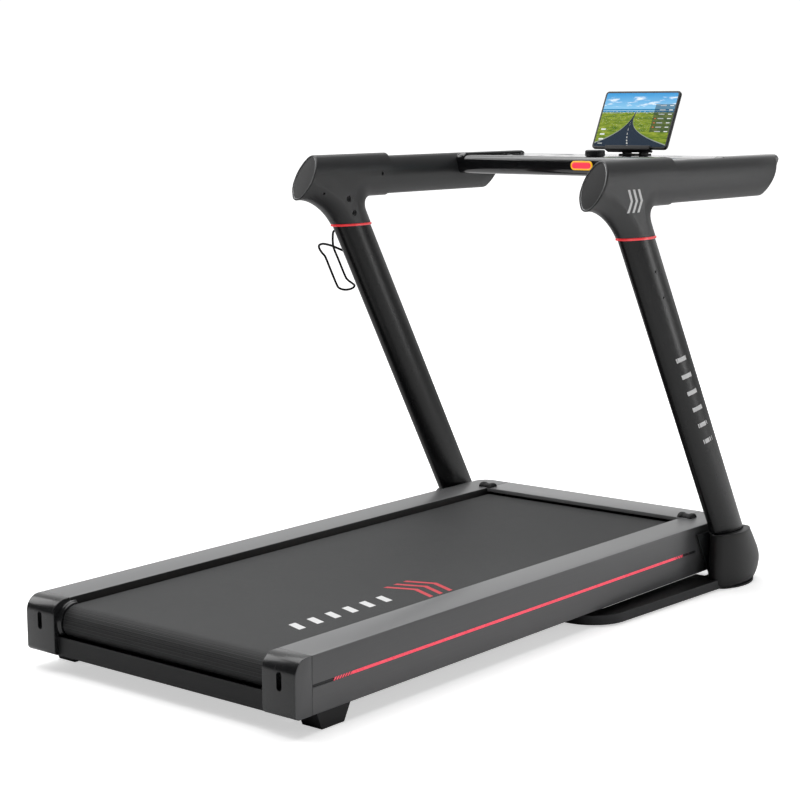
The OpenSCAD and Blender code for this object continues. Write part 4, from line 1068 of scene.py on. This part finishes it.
def screen_mat():
    m = bpy.data.materials.new("tablet_picture")
    m.use_nodes = True
    nt = m.node_tree
    p = nt.nodes["Principled BSDF"]
    uv = nt.nodes.new("ShaderNodeTexCoord").outputs["UV"]
    s = nt.nodes.new("ShaderNodeSeparateXYZ")
    nt.links.new(uv, s.inputs[0])
    u, v = s.outputs[0], s.outputs[1]
    L = lambda op, a, b=None, clamp=False: mth(nt, op, a, b, clamp=clamp)
    band = lambda x, a, b: L("MULTIPLY", L("GREATER_THAN", x, a), L("LESS_THAN", x, b))
    sky = mix(nt, L("MULTIPLY", L("SUBTRACT", v, 0.66), 3.0, True), (0.30, 0.62, 0.86), (0.03, 0.30, 0.66))
    nv = nt.nodes.new("ShaderNodeMapping")
    nv.inputs["Scale"].default_value = (5, 16, 1)
    nt.links.new(uv, nv.inputs[0])
    cl_ = noise(nt, nv.outputs[0], 1.0, 5, 0.6)
    cm = L("MULTIPLY", L("MULTIPLY", L("SUBTRACT", cl_, 0.52), 7.0, True), band(v, 0.74, 0.93), True)
    c = mix(nt, cm, sky, (0.9, 0.95, 1.0))
    c = mix(nt, band(v, 0.635, 0.70), c, (0.02, 0.22, 0.46))
    c = mix(nt, band(v, 0.665, 0.675), c, (0.40, 0.62, 0.70))
    nv2 = nt.nodes.new("ShaderNodeMapping")
    nv2.inputs["Scale"].default_value = (7, 22, 1)
    nt.links.new(uv, nv2.inputs[0])
    g1 = noise(nt, nv2.outputs[0], 1.0, 6, 0.7)
    field = mix(nt, L("MULTIPLY", L("SUBTRACT", g1, 0.35), 2.6, True), (0.055, 0.14, 0.012), (0.42, 0.48, 0.055))
    g2 = noise(nt, nv2.outputs[0], 6.0, 2, 0.5)
    field = mix(nt, L("MULTIPLY", L("GREATER_THAN", g2, 0.68), band(v, 0.25, 0.58)), field, (0.75, 0.72, 0.66))
    land = L("LESS_THAN", v, 0.638)
    c = mix(nt, land, c, field)
    c = mix(nt, L("MULTIPLY", L("GREATER_THAN", g2, 0.60), band(v, 0.615, 0.655)), c, (0.85, 0.88, 0.90))
    # road, wide at the bottom and narrowing to the horizon
    q = L("SUBTRACT", 1.0, L("DIVIDE", v, 0.63), True)
    hwid = L("ADD", 0.007, L("MULTIPLY", L("POWER", q, 2.6), 0.58))
    cen = L("ADD", 0.475, L("MULTIPLY", L("SINE", L("MULTIPLY", q, 3.14159)), -0.045))
    road = L("MULTIPLY", L("LESS_THAN", L("ABSOLUTE", L("SUBTRACT", u, cen)), hwid), land)
    shoulder = L("MULTIPLY", L("LESS_THAN", L("ABSOLUTE", L("SUBTRACT", u, cen)), L("MULTIPLY", hwid, 1.09)), land)
    c = mix(nt, shoulder, c, (0.30, 0.33, 0.30))
    c = mix(nt, road, c, mix(nt, g2, (0.012, 0.022, 0.038), (0.035, 0.05, 0.075)))
    dash = L("MULTIPLY", L("LESS_THAN", L("ABSOLUTE", L("SUBTRACT", u, cen)), L("MULTIPLY", hwid, 0.02)), L("GREATER_THAN", L("FRACT", L("MULTIPLY", L("POWER", q, 2.0), 7.0)), 0.5))
    c = mix(nt, L("MULTIPLY", dash, road), c, (0.7, 0.7, 0.66))
    # translucent panel with plain bars at the right
    panel = L("MULTIPLY", band(u, 0.73, 1.01), band(v, 0.27, 0.79))
    c = mix(nt, L("MULTIPLY", panel, 0.62), c, (0.012, 0.030, 0.040))
    rows = L("FRACT", L("MULTIPLY", v, 12.5))
    rb_ = L("MULTIPLY", band(rows, 0.42, 0.62), panel)
    c = mix(nt, L("MULTIPLY", rb_, band(u, 0.80, 0.88)), c, (0.45, 0.48, 0.50))
    c = mix(nt, L("MULTIPLY", rb_, band(u, 0.93, 0.98)), c, (0.75, 0.78, 0.80))
    c = mix(nt, L("MULTIPLY", L("MULTIPLY", rb_, band(u, 0.755, 0.775)), band(v, 0.30, 0.55)), c, (0.75, 0.12, 0.05))
    # plain marks at the lower left
    row2 = L("FRACT", L("MULTIPLY", v, 11.0))
    c = mix(nt, L("MULTIPLY", L("MULTIPLY", band(row2, 0.35, 0.65), band(u, 0.045, 0.11)), band(v, 0.05, 0.34)), c, (0.78, 0.82, 0.80))
    nt.links.new(mix(nt, 0.5, c, (0, 0, 0)), p.inputs["Base Color"])
    nt.links.new(c, p.inputs["Emission Color"])
    p.inputs["Emission Strength"].default_value = 0.72
    p.inputs["Roughness"].default_value = 0.12
    p.inputs["Coat Weight"].default_value = 0.4
    return m


# the picture sits in a black margin, both on a thin glass sheet let into the front
scr = screen_mat()
p = rrect(-98.5, 5.5, 98.5, 142.5, 3.5, 4)
V = np.concatenate([np.stack([np.full(len(p), x), p[:, 0], p[:, 1]], 1) for x in (0.10, -0.08)])
n = len(p)
F = [tuple(range(n)), tuple(range(2 * n - 1, n - 1, -1))] + [(i, (i + 1) % n, n + (i + 1) % n, n + i) for i in range(n)]
me = bpy.data.meshes.new("tablet_screen")
me.from_pydata([tuple(q) for q in W(tab(V))], [], F)
uvl = me.uv_layers.new(name="UVMap")
for poly_ in me.polygons:
    for li, vi in zip(poly_.loop_indices, poly_.vertices):
        uvl.data[li].uv = ((98.5 - V[vi][1]) / 197, (V[vi][2] - 5.5) / 137)
bm = bmesh.new(); bm.from_mesh(me); bmesh.ops.recalc_face_normals(bm, faces=bm.faces); bm.to_mesh(me); bm.free()
me.materials.append(scr)
o = bpy.data.objects.new("tablet_screen", me)
SC.collection.objects.link(o)
put(o, "tablet_mount")


def tabbox(x0, x1, y0, y1, z0, z1, r, seg=3):
    o = box("t", x0 + X0, x1 + X0, y0, y1, z0, z1, r, None, None, raw=True, seg=seg)
    v = np.array([q.co[:] for q in o.data.vertices]) * 1000
    f = [tuple(q.vertices) for q in o.data.polygons]
    bpy.data.objects.remove(o)
    return v, f


parts = []
for b_ in ((-6, 12, -62, 62, -5, -0.1, 1.2), (-6, -2.4, -62, 62, -4.5, 6, 1.1), (8.15, 12, -54, 54, -4, 112, 1.4), (11.9, 18.5, -17.5, 17.5, 12, 32, 2.0)):
    parts.append(tabbox(*b_))
rings = lathe((19, -18.7, 22), (0, 1, 0), [(0, 3.1), (0, 7.2), (0.8, 8), (36.6, 8), (37.4, 7.2), (37.4, 3.1)], 40)
parts.append(loft(rings, wrap=True))
v, f = merge(parts)
make("tablet_cradle_mesh", tab(v), f, "tablet_mount", "cap_black", "cap_black", ["tablet_cradle"])

HX = TP[0] + 19 * math.cos(TT) + 22 * math.sin(TT)
HZ = TP[2] - 19 * math.sin(TT) + 22 * math.cos(TT)
parts = []
o = box("t", 1546, 1590, -32, 32, 940.0, 942.6, 1.0, None, None, raw=True)
parts.append((np.array([q.co[:] for q in o.data.vertices]) * 1000 + (X0, 0, 0), [tuple(q.vertices) for q in o.data.polygons]))
bpy.data.objects.remove(o)
for y0, y1 in ((-27, -19.4), (19.4, 27)):
    pts = [(1554, 942.4), (1586, 942.4)]
    for t_ in np.linspace(-15, 195, 18):
        pts.append((HX + 6.6 * math.cos(rad(t_)), HZ + 6.6 * math.sin(rad(t_))))
    rings = []
    pts = np.array(pts)
    c_ = pts.mean(0)
    for y, k_ in ((y0, 0.93), (y0 + 0.7, 1.0), (y1 - 0.7, 1.0), (y1, 0.93)):
        q = c_ + (pts - c_) * k_
        rings.append(np.stack([q[:, 0], np.full(len(q), y), q[:, 1]], 1))
    parts.append(loft(rings))
parts.append(loft(lathe((HX, -29, HZ), (0, 1, 0), [(0, 3.4), (0.6, 4.4), (2, 4.6), (2, 3), (56, 3), (56, 4.6), (57.4, 4.4), (58, 3.4)], 32)))
V, F = merge(parts)
make("tablet_stand_mesh", V, F, "base", "cap_black", "cap_black", ["tablet_stand"])

# ------------------------------------------------------------------ bottle cage
def cage(V):
    V = np.array(V, float)
    a = rad(-30)
    x, z = V[:, 0] * math.cos(a) + V[:, 2] * math.sin(a), -V[:, 0] * math.sin(a) + V[:, 2] * math.cos(a)
    return np.stack([ux(696.5) + x, YC + 22 + V[:, 1], 696.5 + z], 1)


parts = []
for s in (1, -1):
    half_pts = [(7.5, 3.5, 34), (15, 6, 42), (22, 13, 53.4), (26, 20.6, 61.3), (28.5, 36, 70), (29, 54.7, 74), (29, 65, 73), (29, 74.2, 68.6), (27, 79.4, 58.4),
                (22, 82.2, 43.6), (17.5, 82, 29.3), (17.5, 82, 0), (17.5, 82, -48), (17.2, 78, -59), (14, 66, -64.5), (8, 54, -65.5)]
    if s > 0:
        pts = half_pts + [(0, 50, -65.5)] + [(-x, y, z) for x, y, z in half_pts[::-1]]
        parts.append(tube(smooth_path(pts, 7), 2.6, 14))
o = box("t", X0 - 10, X0 + 10, 0.15, 3.1, -46, 46, 0.9, None, None, raw=True, seg=3)
pv = np.array([q.co[:] for q in o.data.vertices]) * 1000
parts.append((pv, [tuple(q.vertices) for q in o.data.polygons]))
bpy.data.objects.remove(o)
V, F = merge(parts)
make("bottle_cage_mesh", cage(V), F, "base", "wire", "wire_black", ["bottle_cage"])

# ------------------------------------------------------------------ plain marks in place of the printed ones
def bvh(o):
    me = o.data
    return BVHTree.FromPolygons([v.co.copy() for v in me.vertices], [tuple(p.vertices) for p in me.polygons])


def grid_patch(corners, nu, nv):
    a, b, c, d = [np.array(q, float) for q in corners]
    P = []
    for i in range(nu + 1):
        for j in range(nv + 1):
            u, v = i / nu, j / nv
            P.append(a * (1 - u) * (1 - v) + b * u * (1 - v) + c * u * v + d * (1 - u) * v)
    F = [(i * (nv + 1) + j, (i + 1) * (nv + 1) + j, (i + 1) * (nv + 1) + j + 1, i * (nv + 1) + j + 1) for i in range(nu) for j in range(nv)]
    return np.array(P), F


def decal(quads, tree, side, out=0.15, nu=10, nv=4):
    """Thin printed patch: each 2-D quad (x, z) is laid on the surface below it and given a small thickness."""
    parts = []
    for q in quads:
        P, F = grid_patch(q, nu, nv)
        lay = {}
        for lift in (0.02, out):
            R_ = []
            for x, z in P:
                o3 = Vector(((x - X0) / 1000, side * 0.5, z / 1000))
                h = tree.ray_cast(o3, Vector((0, -side, 0)))
                y = h[0].y if h[0] is not None else side * 0.402
                R_.append((x, y * 1000 + side * lift, z))
            lay[lift] = np.array(R_)
        V = np.concatenate([lay[0.02], lay[out]])
        n = len(P)
        FF = [tuple(f) for f in F] + [tuple(i + n for i in f[::-1]) for f in F]
        edge = [i * (nv + 1) for i in range(nu + 1)] + [nu * (nv + 1) + j for j in range(1, nv + 1)] + [i * (nv + 1) + nv for i in range(nu - 1, -1, -1)] + [j for j in range(nv - 1, 0, -1)]
        for a_, b_ in zip(edge, edge[1:] + edge[:1]):
            FF.append((a_, a_ + n, b_ + n, b_))
        parts.append((V, FF))
    return merge(parts)


tree = bvh(brackets[1])
quads = []
cx, cz = 940.0, 871.0
for i, off in enumerate((-17, 1, 19)):
    x = cx + off
    for sg in (1, -1):
        quads.append([(x - 4, cz), (x + 4, cz), (x - 7, cz + sg * 23), (x - 15, cz + sg * 23)])
V, F = decal(quads, tree, -1)
make("bracket_marks", V, F, "base", "mark", "bracket_charcoal")

# bars up the right upright
quads = []
A, B_ = np.array((1123.0, 550.0)), np.array((1262.0, 326.0))
L_ = np.linalg.norm(B_ - A)
d = (B_ - A) / L_
e = np.array((-d[1], d[0]))
c0 = np.array([ux(440.0), 440.0])
for i in range(6):
    m_ = c0 + d * (-L_ / 2 + (i + 0.5) * L_ / 6)
    hl, w_, lean = 16.5, 5.5, 7
    q = [m_ - e * hl - d * (w_ + lean), m_ - e * hl - d * (-w_ + lean), m_ + e * hl + d * (w_ + lean), m_ + e * hl + d * (-w_ + lean)]
    quads.append([tuple(k_) for k_ in q])
up_tree = bvh(bpy.data.objects["upright_right"])
V, F = decal(quads, up_tree, -1)
make("upright_marks", V, F, "base", "mark", "tube_black")

# bars and chevrons printed on the belt
def belt_quads(qs, z=127.5):
    parts = []
    for q in qs:
        parts.append(extrude(np.array(q), "z", z + 0.02, z + 0.14))
    return merge(parts)


qs = []
for i in range(6):
    x = 186 + i * 49
    qs.append([(x - 14, -194), (x + 4, -194), (x + 16, -156), (x - 2, -156)])
V, F = belt_quads(qs)
make("belt_marks", V, F, "deck", "mark", "belt_rubber")
qs = []
for i in range(3):
    x = 504 + i * 30
    yc = -178
    for sg in (1, -1):
        qs.append([(x + 16, yc), (x + 27, yc), (x + 3, yc + sg * 58), (x - 8, yc + sg * 58)][::sg])
V, F = belt_quads(qs)
make("belt_marks_red", V, F, "deck", "mark_red", "belt_rubber")

# ------------------------------------------------------------------ finishes on the CAD parts that stay
KEEP = {
    "base_frame": "steel_coat", "floor_pads": "rubber", "console_board": "board", "cage_screws": "steel", "fold_pins": "steel", "wheel_axles": "steel",
    "wheel_left": "tyre", "wheel_right": "tyre", "stripe_left": "stripe", "stripe_right": "stripe", "front_tray": "steel_coat", "cross_tubes": "steel_coat",
    "running_board": "wood", "deck_cushions": "rubber", "rear_panel": "panel", "rear_feet": "rubber", "drive_motor": "motor", "motor_rotor": "steel",
    "drive_belt": "rubber", "motor_controller": "heatsink", "power_inlet": "inlet", "power_rocker": "switch", "front_roller": "roller", "front_axle": "steel",
    "rear_roller": "roller", "rear_axle": "steel", "tension_bolts": "steel",
}
for nme, o in N.items():
    if o.hide_render:
        continue
    m = M[KEEP.get(nme, "steel_coat")]
    if not o.material_slots:
        o.data.materials.append(m)
    for s in o.material_slots:
        s.material = m

# ------------------------------------------------------------------ stage, light, camera
fl = bpy.data.meshes.new("floor")
fl.from_pydata([(-14, -14, -0.0005), (30, -14, -0.0005), (30, 30, -0.0005), (-14, 30, -0.0005)], [], [(0, 1, 2, 3)])
floor = bpy.data.objects.new("floor", fl)
SC.collection.objects.link(floor)
fm = bpy.data.materials.new("floor_pale")
fm.use_nodes = True
pb = fm.node_tree.nodes["Principled BSDF"]
pb.inputs["Base Color"].default_value = (0.86, 0.86, 0.86, 1)
pb.inputs["Roughness"].default_value = 0.9
pb.inputs["Specular IOR Level"].default_value = 0.1
fnt = fm.node_tree
# away from the part the floor runs out to the same white as the backdrop; this is seen by the camera only
fg = fnt.nodes.new("ShaderNodeNewGeometry")
fs = fnt.nodes.new("ShaderNodeSeparateXYZ")
fnt.links.new(fg.outputs["Position"], fs.inputs[0])
fd = mth(fnt, "SQRT", mth(fnt, "ADD", mth(fnt, "POWER", mth(fnt, "DIVIDE", fs.outputs[0], 1.25), 2), mth(fnt, "POWER", fs.outputs[1], 2)))
fr = node(fnt, "ShaderNodeMapRange", interpolation_type="SMOOTHSTEP", i_1=0.75, i_2=2.1, i_3=0.55, i_4=1.05)
fnt.links.new(fd, fr.inputs[0])
flp = fnt.nodes.new("ShaderNodeLightPath")
pb.inputs["Emission Color"].default_value = (1, 1, 1, 1)
fnt.links.new(mth(fnt, "MULTIPLY", fr.outputs[0], flp.outputs["Is Camera Ray"]), pb.inputs["Emission Strength"])
fl.materials.append(fm)
floor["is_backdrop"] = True

FD = Vector((0.760438, 0.630476, -0.15567))
wd = bpy.data.worlds.new("studio")
SC.world = wd
wd.use_nodes = True
nt = wd.node_tree
nt.nodes.clear()
out = nt.nodes.new("ShaderNodeOutputWorld")
lp = nt.nodes.new("ShaderNodeLightPath")
tc = nt.nodes.new("ShaderNodeTexCoord")
dp = nt.nodes.new("ShaderNodeVectorMath")
dp.operation = "DOT_PRODUCT"
h = Vector((FD.x, FD.y, 0)).normalized()
dp.inputs[1].default_value = (h.x, h.y, 0.0)
nt.links.new(tc.outputs["Generated"], dp.inputs[0])
mr = node(nt, "ShaderNodeMapRange", interpolation_type="SMOOTHSTEP", i_1=0.25, i_2=0.85, i_3=0.035, i_4=0.84)
nt.links.new(dp.outputs["Value"], mr.inputs[0])
b1 = nt.nodes.new("ShaderNodeBackground")
b1.inputs["Color"].default_value = (1, 1, 1, 1)
nt.links.new(mr.outputs[0], b1.inputs["Strength"])
b2 = nt.nodes.new("ShaderNodeBackground")
b2.inputs["Color"].default_value = (1, 1, 1, 1)
b2.inputs["Strength"].default_value = 1.05
ms = nt.nodes.new("ShaderNodeMixShader")
nt.links.new(lp.outputs["Is Camera Ray"], ms.inputs[0])
nt.links.new(b1.outputs[0], ms.inputs[1])
nt.links.new(b2.outputs[0], ms.inputs[2])
nt.links.new(ms.outputs[0], out.inputs[0])


def area(name, loc, target, size, power, size_y=None):
    l = bpy.data.lights.new(name, "AREA")
    l.energy = power
    l.shape = "RECTANGLE" if size_y else "SQUARE"
    l.size = size
    if size_y:
        l.size_y = size_y
    o = bpy.data.objects.new(name, l)
    o.location = loc
    o.rotation_mode = "QUATERNION"
    o.rotation_quaternion = (Vector(target) - Vector(loc)).to_track_quat("-Z", "Y")
    SC.collection.objects.link(o)
    o.visible_camera = False
    return o


area("top_soft", (0.2, 0.6, 4.2), (0.0, 0.0, 0.2), 4.5, 180)
area("key_left", (-1.5, 3.6, 2.6), (0.2, 0, 0.5), 2.4, 55)
area("right_strip", (2.9, -2.2, 0.8), (0.35, -0.35, 0.5), 0.32, 13, 2.4)
area("right_soft", (0.7, -2.6, 1.1), (0.3, -0.35, 0.4), 1.2, 7)

cam = bpy.data.cameras.new("camera")
co = bpy.data.objects.new("camera", cam)
SC.collection.objects.link(co)
cam.sensor_width = 36
cam.lens = 1915.4915 / 800 * 36
r2 = Vector((0.637545, -0.770391, -0.005779))
d2 = Vector((-0.12357, -0.094852, -0.987792))
m = Matrix((r2, -d2, -FD)).transposed().to_4x4()
m.translation = Vector(((-2291.63 - X0) / 1000, -2.47589, 1.074886))
co.matrix_world = m
cam.clip_start, cam.clip_end = 0.05, 100
SC.camera = co
SC.view_settings.view_transform = "Standard"
SC.view_settings.look = "None"

lo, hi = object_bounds()
